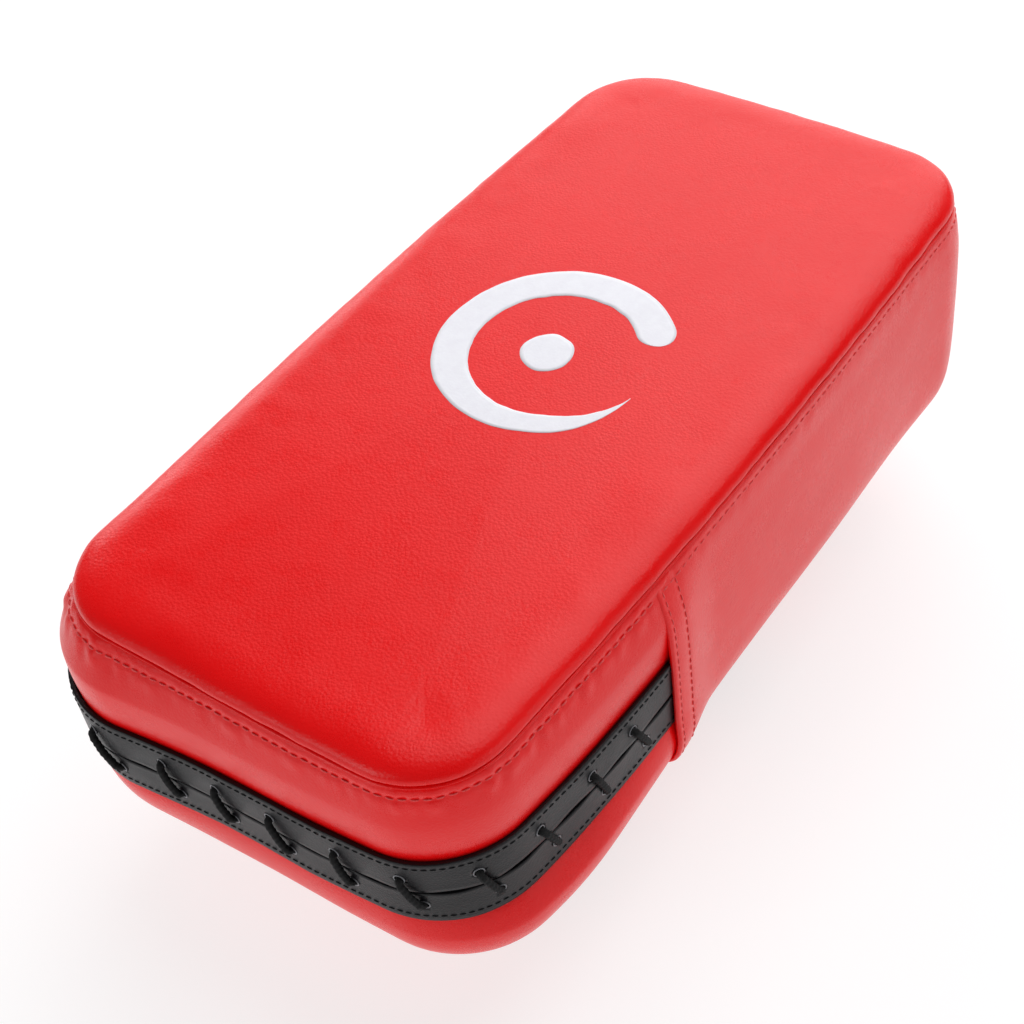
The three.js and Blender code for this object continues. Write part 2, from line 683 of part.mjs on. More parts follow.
function gripWebbing() {
  const top = GRIP_WEB_TOP - GRIP_WEB_T / 2;
  const corners = [
    [-ANCHOR_X + 1, top], [-RIVET_X + 10, top], [-GRIP_L / 2 - 5, GRIP_Z],
    [GRIP_L / 2 + 5, GRIP_Z], [RIVET_X - 10, top], [ANCHOR_X - 1, top],
  ].map(([x, z]) => new THREE.Vector2(x, z));
  const path = new THREE.Path();
  path.moveTo(corners[0].x, corners[0].y);
  for (let i = 1; i < corners.length - 1; i += 1) {
    turn(path, corners[i - 1], corners[i], corners[i + 1], 3.5);
  }
  path.lineTo(corners[5].x, corners[5].y);
  return drilled(ribbon(path, GRIP_WEB_T, GRIP_WEB_W, GRIP_Y), rivetDrills(BACK_Z));
}

// A length of round sleeve along X, over a bore that is round or a flat slot.
function sleeve(outerR, bore) {
  const section = new THREE.Shape();
  section.absarc(0, 0, outerR, 0, 2 * Math.PI);
  section.holes.push(bore);
  const geometry = new THREE.ExtrudeGeometry(section, {
    depth: GRIP_L, bevelEnabled: false, curveSegments: 10,
  });
  geometry.rotateY(Math.PI / 2);
  return geometry.translate(-GRIP_L / 2, GRIP_Y, GRIP_Z);
}

// Dome head below, shank through the back, and a peened end over its washer.
function rivet(x, y) {
  const headTop = GRIP_WEB_TOP - GRIP_WEB_T - GAP;
  const washerTop = BACK_Z + SKIN_T + GAP + WASHER_T;
  const profile = [
    [0, headTop - 2], [2.4, headTop - 1.7], [RIVET_HEAD_R, headTop - 0.5], [RIVET_HEAD_R, headTop],
    [RIVET_SHANK_R, headTop], [RIVET_SHANK_R, washerTop + GAP], [3.4, washerTop + GAP],
    [3, washerTop + 1.1], [0, washerTop + 1.1],
  ].map(([r, z]) => new THREE.Vector2(r, z));
  return new THREE.LatheGeometry(profile, 12).rotateX(Math.PI / 2).translate(x, y, 0);
}

function washer(x, y) {
  const z = BACK_Z + SKIN_T + GAP;
  const disc = new THREE.Shape();
  disc.absarc(0, 0, WASHER_R, 0, 2 * Math.PI);
  const bore = new THREE.Path();
  bore.absarc(0, 0, RIVET_SHANK_R + GAP, 0, 2 * Math.PI, true);
  disc.holes.push(bore);
  const geometry = new THREE.ExtrudeGeometry(disc, {
    depth: WASHER_T, bevelEnabled: false, curveSegments: 6,
  });
  return geometry.translate(x, y, z);
}

function addGrip() {
  add('grip_webbing', gripWebbing(), webbingBlack);
  const slot = roundedRectangle(0, 0, GRIP_WEB_T + 2 * GAP, GRIP_WEB_W + 2 * GAP, 0.5);
  const foamR = GRIP_R - GRIP_COVER_T - GAP;
  add('grip_foam', sleeve(foamR, slot), foamGrey);
  const bore = new THREE.Path();
  bore.absarc(0, 0, GRIP_R - GRIP_COVER_T, 0, 2 * Math.PI, true);
  add('grip_cover', sleeve(GRIP_R, bore), blackLeather);
  let number = 1;
  for (const side of [-1, 1]) {
    const name = side < 0 ? 'grip_patch_left' : 'grip_patch_right';
    const x = side * RIVET_X;
    const [x0, x1] = [side * (RIVET_X - 9), side * ANCHOR_X].sort((a, b) => a - b);
    const patch = plate(x0, x1, GRIP_Y, GRIP_PATCH_W, GRIP_PATCH_Z, GRIP_PATCH_Z + PATCH_T);
    add(name, drilled(patch, rivetDrills(BACK_Z)), blackLeather);
    for (const y of [GRIP_Y - RIVET_Y, GRIP_Y + RIVET_Y]) {
      add(`rivet_${number}`, rivet(x, y), steel);
      add(`rivet_washer_${number}`, washer(x, y), steel);
      number += 1;
    }
  }
}

// ---------------------------------------------------------------- assembly

addFaceAndFoams();
addEmblem();
addCoverSides();
addBack();
addLacing();
addStrap('near', STRAP_Y.near);
addStrap('far', STRAP_Y.far);
addGrip();
pad.position.y = CENTRE_Y;

export default pad;
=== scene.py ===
# Thai pad: a laced leather pad lying face up on its forearm straps.
# Shapes are worked out in millimetres from the CAD frame and built in metres.

import random
from math import acos, atan2, copysign, cos, exp, hypot, pi, radians, sin, sqrt, tan

import bmesh
import bpy
import numpy as np
from mathutils import Matrix, Vector, noise
from mathutils.bvhtree import BVHTree


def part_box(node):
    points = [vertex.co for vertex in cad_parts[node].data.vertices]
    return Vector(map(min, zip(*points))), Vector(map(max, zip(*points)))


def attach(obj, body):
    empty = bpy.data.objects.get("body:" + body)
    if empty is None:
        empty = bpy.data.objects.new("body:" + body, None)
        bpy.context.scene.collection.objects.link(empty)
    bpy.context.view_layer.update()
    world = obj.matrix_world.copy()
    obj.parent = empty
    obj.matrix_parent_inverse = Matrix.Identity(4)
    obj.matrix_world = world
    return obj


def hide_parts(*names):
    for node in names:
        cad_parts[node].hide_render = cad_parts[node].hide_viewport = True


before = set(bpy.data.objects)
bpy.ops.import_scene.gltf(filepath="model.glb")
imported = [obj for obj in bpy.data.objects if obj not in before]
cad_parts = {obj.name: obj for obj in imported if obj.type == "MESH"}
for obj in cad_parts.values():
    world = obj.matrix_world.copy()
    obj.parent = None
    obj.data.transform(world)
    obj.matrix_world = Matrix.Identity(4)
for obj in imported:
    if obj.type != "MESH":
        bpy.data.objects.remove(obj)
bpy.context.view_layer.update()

MM = 0.001
random.seed(7)

# ---- camera

CAMERA_AT = Vector((0.3319, -0.4055, 0.6266))
CAMERA_AZIMUTH = radians(41.54)
CAMERA_ELEVATION = radians(46.04)
CAMERA_ROLL = radians(8.12)
CAMERA_LENS = 63.65


def add_to_scene(name, data):
    obj = bpy.data.objects.new(name, data)
    bpy.context.scene.collection.objects.link(obj)
    return obj


def make_camera():
    data = bpy.data.cameras.new("camera")
    data.lens = CAMERA_LENS
    data.sensor_width = 36
    data.clip_start = 0.01
    data.clip_end = 20
    camera = add_to_scene("camera", data)
    level_part = cos(CAMERA_ELEVATION)
    away = Vector((
        -sin(CAMERA_AZIMUTH) * level_part,
        cos(CAMERA_AZIMUTH) * level_part,
        -sin(CAMERA_ELEVATION),
    ))
    level = away.to_track_quat("-Z", "Y").to_matrix()
    turn = level @ Matrix.Rotation(-CAMERA_ROLL, 3, "Z")
    camera.matrix_world = Matrix.Translation(CAMERA_AT) @ turn.to_4x4()
    bpy.context.scene.camera = camera


# ---- sizes from the frame

def box_mm(node):
    low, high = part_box(node)
    return np.array(low) / MM, np.array(high) / MM


FACE_LOW, FACE_HIGH = box_mm("face_panel")
HALF_WIDTH = (FACE_HIGH[0] - FACE_LOW[0]) / 2
HALF_LENGTH = (FACE_HIGH[1] - FACE_LOW[1]) / 2
MIDDLE_Y = (FACE_HIGH[1] + FACE_LOW[1]) / 2
SEAM_Z = (box_mm("face_welt")[0][2] + box_mm("face_welt")[1][2]) / 2
BACK_Z = box_mm("back_panel")[0][2]
BAND_TOP = box_mm("upper_lace_strip")[1][2]
BAND_LOW = box_mm("lower_lace_strip")[0][2]
BAND_MID = (BAND_TOP + BAND_LOW) / 2
CORNER_R = 36
BOW = radians(2.6)         # how far the sides and ends turn before they meet a corner
SKIN = 1.0                      # thickness of the cover

# Places along the outline are rim distances: 0 at the middle of the near end, growing towards +X.
HEM_S = 193                     # the side panel's hems
HEM_LIFT = 2.2                  # how far a hem stands off the wall, over the ends of the lacing
STRIP_IN = 0.4                  # a lace strip's inner face, outside the outline
STRIP_T = 2.0
STRIP_RUN = 12                  # how far a strip runs on under a hem
HOLE_Z = 7.4                    # holes over and under the middle of the lacing band
HOLE_R = 1.8
LACE_R = 1.3
LACE_PITCH = 26
LACE_SLANT = 6.5                # from an upper hole to its lower hole, along the band
LACE_COUNT = 14
LACE_FIRST = -163
LACE_REACH = 2.65               # the lace's centre from the middle of the strip

# Where the foam fills the cover unevenly, and where it gathers most: height, rim distance and width.
LEFT_CORNER_PUSH = (2.6, -80, 40)
LEFT_CORNER_SWELL = (7.9, -90, 56)
RIGHT_CORNER_SWELL = (-3.0, 86, 40)
FAR_CORNER_SWELL = (4.0, 445, 40)
RIGHT_SAG = (6.0, 128, 52)
NEAR_CORNER_PUCKER = (1.1, 92, 34)
WALL_SWELL = 3.2                # all along the near wall
SIDE_SWELL = -1.2               # and along the sides

# ---- the pad's outline


def pillow_arcs():
    """Shallow side and end arcs that run tangent into the corner arcs, near centre to far."""
    c, s, right = cos(BOW), sin(BOW), pi / 2
    det = (1 - c) ** 2 - s ** 2
    across = HALF_WIDTH - CORNER_R * c + CORNER_R * s
    along = HALF_LENGTH + CORNER_R * s - CORNER_R * c
    side_r = ((1 - c) * across - s * along) / det
    end_r = ((1 - c) * along - s * across) / det
    corner_x = (end_r - CORNER_R) * s
    corner_y = (side_r - CORNER_R) * s
    return [
        (0, end_r - HALF_LENGTH, end_r, -right, BOW - right),
        (corner_x, -corner_y, CORNER_R, BOW - right, -BOW),
        (HALF_WIDTH - side_r, 0, side_r, -BOW, BOW),
        (corner_x, corner_y, CORNER_R, BOW, right - BOW),
        (0, HALF_LENGTH - end_r, end_r, right - BOW, right),
    ]


ARCS = pillow_arcs()
ARC_LENGTHS = [r * (end - start) for _, _, r, start, end in ARCS]
LAP = 2 * sum(ARC_LENGTHS)
FAR_HEM_S = LAP - HEM_S         # the side panel's other hem, reached round the far end


def wrap(distance):
    """The same place, within half a lap of the near centre."""
    return distance - LAP * round(distance / LAP)


def rim(distance):
    """Point and outward normal at a rim distance."""
    side = -1 if wrap(distance) < 0 else 1
    rest = abs(wrap(distance))
    for arc, length in zip(ARCS, ARC_LENGTHS):
        if rest <= length or arc is ARCS[-1]:
            break
        rest -= length
    x, y, r, start, _ = arc
    angle = start + rest / r
    nx, ny = cos(angle), sin(angle)
    return side * (x + r * nx), y + r * ny + MIDDLE_Y, side * nx, ny


def bell(x, centre, width):
    return exp(-((x - centre) / width) ** 2)


def bulge(s, height, centre, width):
    """A bell along the rim, which closes on itself."""
    return height * bell(wrap(s - centre), 0, width)


def place(distance, n, z):
    """A point n mm outside the rim, which the full left corner pushes out, least at the back."""
    x, y, nx, ny = rim(distance)
    n += bulge(distance, *LEFT_CORNER_PUSH) * ease(z, BACK_Z, BACK_Z + 30) * ease(n, -60, -5)
    return (x + n * nx, y + n * ny, z)


def spread(start, end, step):
    return list(np.linspace(start, end, max(2, round((end - start) / step) + 1)))


def rough(a, b, seed, size=1.0):
    """Smooth noise, about -1 to 1."""
    return noise.noise(Vector((a / size, b / size, seed * 7.31)))


def ease(x, low, high):
    t = min(max((x - low) / (high - low), 0), 1)
    return t * t * (3 - 2 * t)


def smooth_profile(points, count):
    """A Catmull-Rom line through points, at even steps along it."""
    pts = np.array(points, float)
    pts = np.vstack([2 * pts[0] - pts[1], pts, 2 * pts[-1] - pts[-2]])
    line = []
    for i in range(1, len(pts) - 2):
        a, b, c, d = pts[i - 1:i + 3]
        for t in np.linspace(0, 1, 12, endpoint=False):
            line.append(0.5 * (2 * b + (c - a) * t + (2 * a - 5 * b + 4 * c - d) * t ** 2
                               + (3 * b - a - 3 * c + d) * t ** 3))
    line = np.array(line + [pts[-2]])
    run = run_of(line)
    return sample(line, run, np.linspace(0, run[-1], count)).T


def run_of(points):
    """How far along its line each point lies."""
    steps = np.diff(np.array(points, float), axis=0)
    return np.concatenate([[0], np.cumsum(np.linalg.norm(steps, axis=1))])


def sample(points, run, at):
    return np.array([np.interp(at, run, column) for column in np.array(points, float).T])


def unit(vectors):
    return vectors / np.linalg.norm(vectors, axis=-1, keepdims=True)


def turns(count):
    """Even angles, once round."""
    return [2 * pi * k / count for k in range(count)]


# ---- mesh helpers


def mesh_mm(name, verts, faces):
    mesh = bpy.data.meshes.new(name)
    mesh.from_pydata([tuple(c * MM for c in v) for v in verts], [], faces)
    return mesh


def new_object(name, verts, faces, material, replaces=(), body="pad", uvs=None):
    """A piece from points in millimetres, which rides on a body and stands for CAD nodes."""
    mesh = mesh_mm(name, verts, faces)
    if uvs is not None:
        layer = mesh.uv_layers.new(name="UVMap")
        for loop in mesh.loops:
            layer.data[loop.index].uv = uvs[loop.vertex_index]
    mesh.materials.append(material)
    mesh.polygons.foreach_set("use_smooth", [True] * len(mesh.polygons))
    mesh.update()
    obj = add_to_scene(name, mesh)
    face_outwards(obj)
    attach(obj, body)
    if replaces:
        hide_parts(*replaces)
    return obj


def new_grid(name, rows, material, replaces=(), body="pad", uvs=None, **shape):
    """A piece made of rows of points."""
    faces = grid_faces(len(rows), len(rows[0]), **shape)
    return new_object(name, flat(rows), faces, material, replaces, body, uvs)


def flat(rows):
    return [point for row in rows for point in row]


def face_outwards(obj):
    """Turns all faces over if they look towards the middle of the piece, or of the pad."""
    mesh = obj.data
    bm = bmesh.new()
    bm.from_mesh(mesh)
    if all(edge.is_manifold for edge in bm.edges):
        outward = bm.calc_volume(signed=True)
    else:
        middle = Vector((0, MIDDLE_Y, (SEAM_Z + BACK_Z) / 2)) * MM
        outward = sum(f.normal.dot(f.calc_center_median() - middle) * f.calc_area() for f in bm.faces)
    if outward < 0:
        bmesh.ops.reverse_faces(bm, faces=bm.faces)
    bm.to_mesh(mesh)
    bm.free()


def grid_faces(rows, cols, wrap_rows=False, wrap_cols=False, cap_rows=False, first=0):
    faces = []
    for i in range(rows if wrap_rows else rows - 1):
        here, there = first + i * cols, first + (i + 1) % rows * cols
        for j in range(cols if wrap_cols else cols - 1):
            after = (j + 1) % cols
            faces.append((here + j, here + after, there + after, there + j))
    if cap_rows:
        last = first + (rows - 1) * cols
        faces.append(tuple(first + j for j in reversed(range(cols))))
        faces.append(tuple(last + j for j in range(cols)))
    return faces


def fill_loop(first, count):
    """Closes a loop of points with rungs straight across it."""
    faces = []
    low, high = first, first + count - 1
    while high - low > 1:
        rung = (low, low + 1, high) if high - low == 2 else (low, low + 1, high - 1, high)
        faces.append(rung)
        low, high = low + 1, high - 1
    return faces


def thicken(obj, thickness):
    """Gives a sheet its thickness, inwards."""
    solid = obj.modifiers.new("thickness", "SOLIDIFY")
    solid.thickness = thickness * MM
    solid.offset = -1


def smooth(obj):
    sub = obj.modifiers.new("smooth", "SUBSURF")
    sub.levels = 1
    sub.render_levels = 1


def skin(obj):
    thicken(obj, SKIN)
    smooth(obj)


def tube(points, radius_at, sides):
    """Rings round a line of points, with frames carried along it."""
    pts = np.array(points, float)
    tangents = unit(np.gradient(pts, axis=0))
    side = np.cross(tangents[0], [0.31, 0.17, 0.94])    # from any direction that is off the line's
    rings = []
    for i, (p, t) in enumerate(zip(pts, tangents)):
        side = unit(side - t * np.dot(side, t))
        up = np.cross(t, side)
        rings.append([p + radius_at(i, a) * (cos(a) * side + sin(a) * up) for a in turns(sides)])
    return rings


# Along a stitch: how far along it, and its height and thickness in thread radii.
STITCH_PROFILE = [
    (0.0, -0.9, 0.35), (0.12, 0.1, 0.85), (0.5, 0.45, 1.0), (0.88, 0.1, 0.85), (1.0, -0.9, 0.35),
]
STITCH_SIDES = 6
STITCH_FILL = 0.74              # the part of the pitch that a stitch covers


def stitches(name, lines, material, body="pad", pitch=3.6, radius=0.33):
    """Rows of sewn thread. Each line is (points, outward normals), in millimetres."""
    verts, faces = [], []
    for points, normals in lines:
        run = run_of(points)
        count = max(1, int(run[-1] / pitch))
        gap = run[-1] / count
        for i in range(count):
            start = sample(points, run, (i + (1 - STITCH_FILL) / 2) * gap)
            end = sample(points, run, (i + (1 + STITCH_FILL) / 2) * gap)
            add_stitch(verts, faces, start, end, unit(sample(normals, run, (i + 0.5) * gap)), radius)
    new_object(name, verts, faces, material, body=body)


def add_stitch(verts, faces, start, end, up, radius):
    faces += grid_faces(len(STITCH_PROFILE), STITCH_SIDES, wrap_cols=True, cap_rows=True, first=len(verts))
    across = unit(np.cross(end - start, up))
    for t, height, scale in STITCH_PROFILE:
        middle = start + (end - start) * t + up * height * radius
        for angle in turns(STITCH_SIDES):
            verts.append(middle + radius * scale * (cos(angle) * across + sin(angle) * up))


# ---- materials


class Nodes:
    """A short way to build a node tree."""

    def __init__(self, name):
        self.material = bpy.data.materials.new(name)
        self.material.use_nodes = True
        self.tree = self.material.node_tree
        self.shader = self.tree.nodes["Principled BSDF"]
        self.at = self.coordinates("Object")

    def add(self, kind, links=None, **values):
        node = self.tree.nodes.new(kind)
        for key, value in values.items():
            if key in node.inputs:
                node.inputs[key].default_value = value
            else:
                setattr(node, key, value)
        for socket, source in (links or {}).items():
            self.tree.links.new(source, node.inputs[socket])
        return node

    def coordinates(self, kind):
        return self.add("ShaderNodeTexCoord").outputs[kind]

    def noise(self, scale, detail=2.0, roughness=0.5):
        links = {"Vector": self.at}
        node = self.add("ShaderNodeTexNoise", links, Scale=scale, Detail=detail, Roughness=roughness)
        return node.outputs["Fac"]

    def voronoi(self, scale, feature="F1"):
        node = self.add("ShaderNodeTexVoronoi", {"Vector": self.at}, Scale=scale, feature=feature)
        return node.outputs["Distance"]

    def fit(self, value, low, high, new_low, new_high):
        node = self.add("ShaderNodeMapRange", {"Value": value}, **{
            "From Min": low, "From Max": high, "To Min": new_low, "To Max": new_high,
        })
        return node.outputs["Result"]

    def math(self, operation, a, b):
        node = self.add("ShaderNodeMath", operation=operation)
        for index, value in enumerate((a, b)):
            self.set(node.inputs[index], value)
        return node.outputs[0]

    def set(self, socket, value):
        """Links an output to a socket, or gives the socket a fixed value."""
        if isinstance(value, bpy.types.NodeSocket):
            self.tree.links.new(value, socket)
        else:
            socket.default_value = value

    def total(self, *parts):
        """Adds two (value, share) pairs."""
        return self.math("ADD", *(self.math("MULTIPLY", value, share) for value, share in parts))

    def blend(self, factor, first, second):
        node = self.add("ShaderNodeMix", {"Factor": factor}, data_type="RGBA")
        node.inputs[6].default_value = (*first, 1)
        node.inputs[7].default_value = (*second, 1)
        return node.outputs[2]

    def mottle(self, value, first, second, low=0.3, high=0.7):
        """Blends two colours as a value runs from `low` to `high`."""
        return self.blend(self.fit(value, low, high, 0, 1), first, second)

    def bump(self, height, distance, strength=1.0):
        node = self.add("ShaderNodeBump", {"Height": height}, Distance=distance, Strength=strength)
        return node.outputs["Normal"]

    def shade(self, color, roughness, normal=None, **values):
        values |= {"Base Color": color, "Roughness": roughness}
        if normal is not None:
            values["Normal"] = normal
        for socket, value in values.items():
            self.set(self.shader.inputs[socket], value)
        return self.material


# Cells and pores in a metre of leather.
GRAIN_CELLS = 760
GRAIN_PORES = 2600


def leather(name, low, high, rough_low, rough_high, grain=1.0, **values):
    """Pebbled synthetic leather: cells with soft creases between them, over finer pores."""
    n = Nodes(name)
    cells = n.fit(n.voronoi(GRAIN_CELLS / grain), 0.0, 0.75, 1.0, 0.0)
    pores = n.noise(GRAIN_PORES / grain, 2)
    sway = n.noise(60, 3)
    height = n.total((cells, 0.7), (pores, 0.5))
    color = n.mottle(n.noise(14, 3), low, high)
    roughness = n.fit(n.total((sway, 0.6), (pores, 0.4)), 0.3, 0.7, rough_low, rough_high)
    return n.shade(color, roughness, n.bump(height, 0.0002, 0.42), **values)


def webbing(name, low, high):
    """Woven tape: ribs along UV's first axis, crossed by fine picks, its colour darker in the weave's
    hollows as painted shade.
    """
    n = Nodes(name)
    links = {"Vector": n.coordinates("UV")}
    ribs = n.add("ShaderNodeTexWave", links, Scale=3.4, bands_direction="Y", Distortion=0.4)
    picks = n.add("ShaderNodeTexWave", links, Scale=4.6, bands_direction="X", Distortion=0.4)
    weave = n.math("MULTIPLY", ribs.outputs["Fac"], picks.outputs["Fac"])
    fuzz = n.noise(2400, 3)
    height = n.math("ADD", weave, n.math("MULTIPLY", fuzz, 0.35))
    # Painted shade: the colour follows the weave's height, darker between the threads and lighter on the
    # raised ribs.
    color = n.mottle(height, low, high, 0.1, 1.1)
    return n.shade(color, 0.85, n.bump(height, 0.0003, 0.8), **{"Sheen Weight": 0.25})


def pile(name, low, high, scale):
    """Hook or loop tape: a dense tangle of fine fibre, its colour darker in the tangle's hollows as painted
    shade.
    """
    n = Nodes(name)
    tangle = n.math("ADD", n.voronoi(scale), n.math("MULTIPLY", n.noise(scale * 2.2, 4), 0.8))
    # Painted shade: the colour follows the tangle's height, darker in its dips and lighter on its raised
    # fibres.
    color = n.mottle(tangle, low, high, 0.3, 1.1)
    return n.shade(color, 0.95, n.bump(tangle, 0.0006, 0.9), **{"Sheen Weight": 0.4})


def plated(name):
    n = Nodes(name)
    scuffs = n.noise(900, 4, 0.7)
    roughness = n.fit(scuffs, 0.35, 0.75, 0.16, 0.38)
    color = n.mottle(n.noise(120, 2), (0.55, 0.55, 0.56), (0.72, 0.71, 0.7))
    return n.shade(color, roughness, n.bump(scuffs, 0.00004, 0.3), Metallic=1.0)


def foam_material(name):
    n = Nodes(name)
    pores = n.voronoi(620, "DISTANCE_TO_EDGE")
    color = n.mottle(n.noise(40, 3), (0.20, 0.21, 0.22), (0.30, 0.31, 0.33))
    return n.shade(color, 0.92, n.bump(pores, 0.0005, 0.7))


def thread_material(name, low, high, roughness=0.55):
    """Twisted thread or cord: fine strands across the twist, their colour darker in the grooves between them
    as painted shade.
    """
    n = Nodes(name)
    strands = n.noise(3200, 3, 0.6)
    # Painted shade: the colour follows the strands' height, darker in the grooves and lighter on the raised
    # strands.
    color = n.mottle(strands, low, high)
    return n.shade(color, roughness, n.bump(strands, 0.0001, 0.5), **{"Specular IOR Level": 0.3})


def print_material(name):
    """Screen-printed film, faintly broken by the leather grain under it."""
    n = Nodes(name)
    cells = n.fit(n.voronoi(GRAIN_CELLS), 0.0, 0.75, 1.0, 0.0)
    worn = n.noise(180, 5, 0.7)
    color = n.mottle(worn, (0.93, 0.93, 0.99), (0.87, 0.86, 0.93), 0.35, 0.75)
    return n.shade(color, 0.5, n.bump(cells, 0.0001, 0.15))


RED = leather("red_leather", (0.88, 0.002, 0.003), (0.93, 0.004, 0.005), 0.24, 0.33, grain=0.9, **{
    "Specular IOR Level": 0.27,
})
BLACK = leather("black_leather", (0.004, 0.004, 0.005), (0.009, 0.008, 0.010), 0.30, 0.42, grain=0.7, **{
    "Specular IOR Level": 0.24,
})
RED_THREAD = thread_material("red_thread", (0.62, 0.01, 0.012), (0.98, 0.14, 0.14))
STRIP_THREAD = thread_material("strip_thread", (0.006, 0.006, 0.007), (0.03, 0.03, 0.032))
BLACK_THREAD = thread_material("black_thread", (0.008, 0.008, 0.009), (0.05, 0.05, 0.052))
CORD = thread_material("lace_braid", (0.001, 0.001, 0.001), (0.010, 0.010, 0.011), 0.75)
WEBBING = webbing("webbing", (0.006, 0.006, 0.007), (0.045, 0.045, 0.048))
LOOP = pile("loop_pile", (0.006, 0.006, 0.007), (0.05, 0.05, 0.055), 1500)
HOOK = pile("hook_pile", (0.01, 0.01, 0.011), (0.07, 0.07, 0.075), 900)
STEEL = plated("nickel_plate")
FOAM = foam_material("foam")
PRINT = print_material("white_print")
# A light grey for the raised hole edges in the black strips: a painted highlight, not the leather's own
# colour.
RIM_HIGHLIGHT = leather("rim_highlight_grey", (0.10, 0.10, 0.11), (0.22, 0.22, 0.24), 0.25, 0.35)

# ---- the face

ROLL_IN = 19.0          # the middle of the rolled edge, in from the seam
ROLL_OUT = 18.8         # its reach outwards
ROLL_LIFT = 2.0         # its middle, over the seam
ROLL_RISE = 6.6         # its top, over its middle
CROWN_RISE = 2.0        # the middle of the face, over the roll's top
FLAT_INSET = 34         # where the roll has run out into the crown


def face_profile():
    """The roll beside the seam, as (distance outside the outline, height over the seam)."""
    points = []
    for degrees in np.linspace(-26, 90, 20):
        angle = radians(degrees)
        rise = ROLL_RISE if degrees > 0 else ROLL_LIFT * 1.2
        out = copysign(abs(cos(angle)) ** 0.86, cos(angle))
        up = copysign(abs(sin(angle)) ** 0.9, sin(angle))
        points.append((-ROLL_IN + ROLL_OUT * out, ROLL_LIFT + rise * up))
    for inset in (22, 26, 30, FLAT_INSET):
        points.append((-inset, ROLL_LIFT + ROLL_RISE))
    return points


def crown(inset):
    return CROWN_RISE * ease(inset, ROLL_IN, HALF_WIDTH)


def shrunk_loop(around, inset, shrink):
    """The outline at an inset, made smaller about the pad's middle."""
    loop = [place(s, -inset, 0) for s in around]
    return [(x * shrink, (y - MIDDLE_Y) * shrink + MIDDLE_Y) for x, y, _ in loop]


def closed_sheet(name, rows, material, replaces):
    """Loops that run inwards, the last of them filled in."""
    cols = len(rows[0])
    faces = grid_faces(len(rows), cols, wrap_cols=True) + fill_loop((len(rows) - 1) * cols, cols)
    sheet = new_object(name, flat(rows), faces, material, replaces)
    skin(sheet)
    return sheet


def make_face():
    around = spread(0, LAP, 4)[:-1]
    rows = []
    for out, up in face_profile():
        fade = ease(-out, -1, 12) * (1 - ease(-out, 24, 34))
        row = []
        for s in around:
            dent = 0.5 * rough(s, 0, 3, 34) * fade + 0.18 * rough(s, out, 4, 9) * fade
            pinch = 0.4 * rough(s, 0, 5, 6) * (1 - ease(-out, 0, 9))
            row.append(place(s, out + pinch, SEAM_Z + up + dent + crown(-out)))
        rows.append(row)
    for shrink in (0.85, 0.68, 0.5, 0.33, 0.18, 0.06):
        height = SEAM_Z + ROLL_LIFT + ROLL_RISE + crown(HALF_WIDTH - (HALF_WIDTH - FLAT_INSET) * shrink)
        loop = shrunk_loop(around, FLAT_INSET, shrink)
        rows.append([(x, y, height + 0.25 * rough(x, y, 6, 45) * (1 - shrink)) for x, y in loop])
    face = closed_sheet("face_cover", rows, RED, ("face_panel",))
    return face


def surface_tree(obj):
    mesh = obj.data
    return BVHTree.FromPolygons([v.co for v in mesh.vertices], [tuple(p.vertices) for p in mesh.polygons])


def height_on(tree, x, y):
    hit = tree.ray_cast(Vector((x * MM, y * MM, 0.5)), Vector((0, 0, -1)))[0]
    return hit.z / MM


# ---- printed mark

MARK_R = 40.5
MARK_SWAY = 2.6         # how far the ring is out of round
MARK_WIDTH = 15.5
MARK_T = 0.12
MARK_START = radians(35)
MARK_SWEEP = radians(318)
ROUND_HEAD = 0.033      # the part of the ring that its round head takes
DOT_R = 10.5


def make_mark(face):
    """An open ring, as from one stroke with a round head and a pointed tail, round a dot."""
    tree = surface_tree(face)
    steps, lanes = 260, 8
    rows = []
    for i in range(steps + 1):
        t = (i / steps) ** 1.4
        angle = MARK_START + MARK_SWEEP * t
        head = max(1 - (1 - min(t / ROUND_HEAD, 1)) ** 2, 0.002)
        width = MARK_WIDTH * sqrt(head) * (1 - 0.5 * ease(t, 0.45, 1.0)) * ease(1 - t, -0.02, 0.16)
        radius = MARK_R + MARK_SWAY * sin(angle + 0.6) + 0.5 * rough(t * 12, 0, 11)
        outer = radius + width / 2 + 0.2 * rough(t * 40, 0, 12)
        inner = radius - width / 2 + 0.3 * rough(t * 40, 0, 13)
        rows.append([disc_point(tree, angle, inner + (outer - inner) * k / lanes) for k in range(lanes + 1)])
    thicken(new_grid("printed_ring", rows, PRINT, ("mark_ring",)), MARK_T)
    loops, around = 6, turns(72)
    edge = [DOT_R + 0.5 * rough(cos(a) * 2, sin(a) * 2, 15) for a in around]
    rows = [[disc_point(tree, a, r * k / loops) for a, r in zip(around, edge)] for k in range(1, loops + 1)]
    faces = grid_faces(loops, len(around), wrap_cols=True) + [tuple(reversed(range(len(around))))]
    thicken(new_object("printed_dot", flat(rows), faces, PRINT, ("mark_dot",)), MARK_T)


def disc_point(tree, angle, radius):
    x, y = radius * cos(angle), radius * sin(angle) + MIDDLE_Y
    return (x, y, height_on(tree, x, y) + MARK_T)


# ---- gussets and side panel

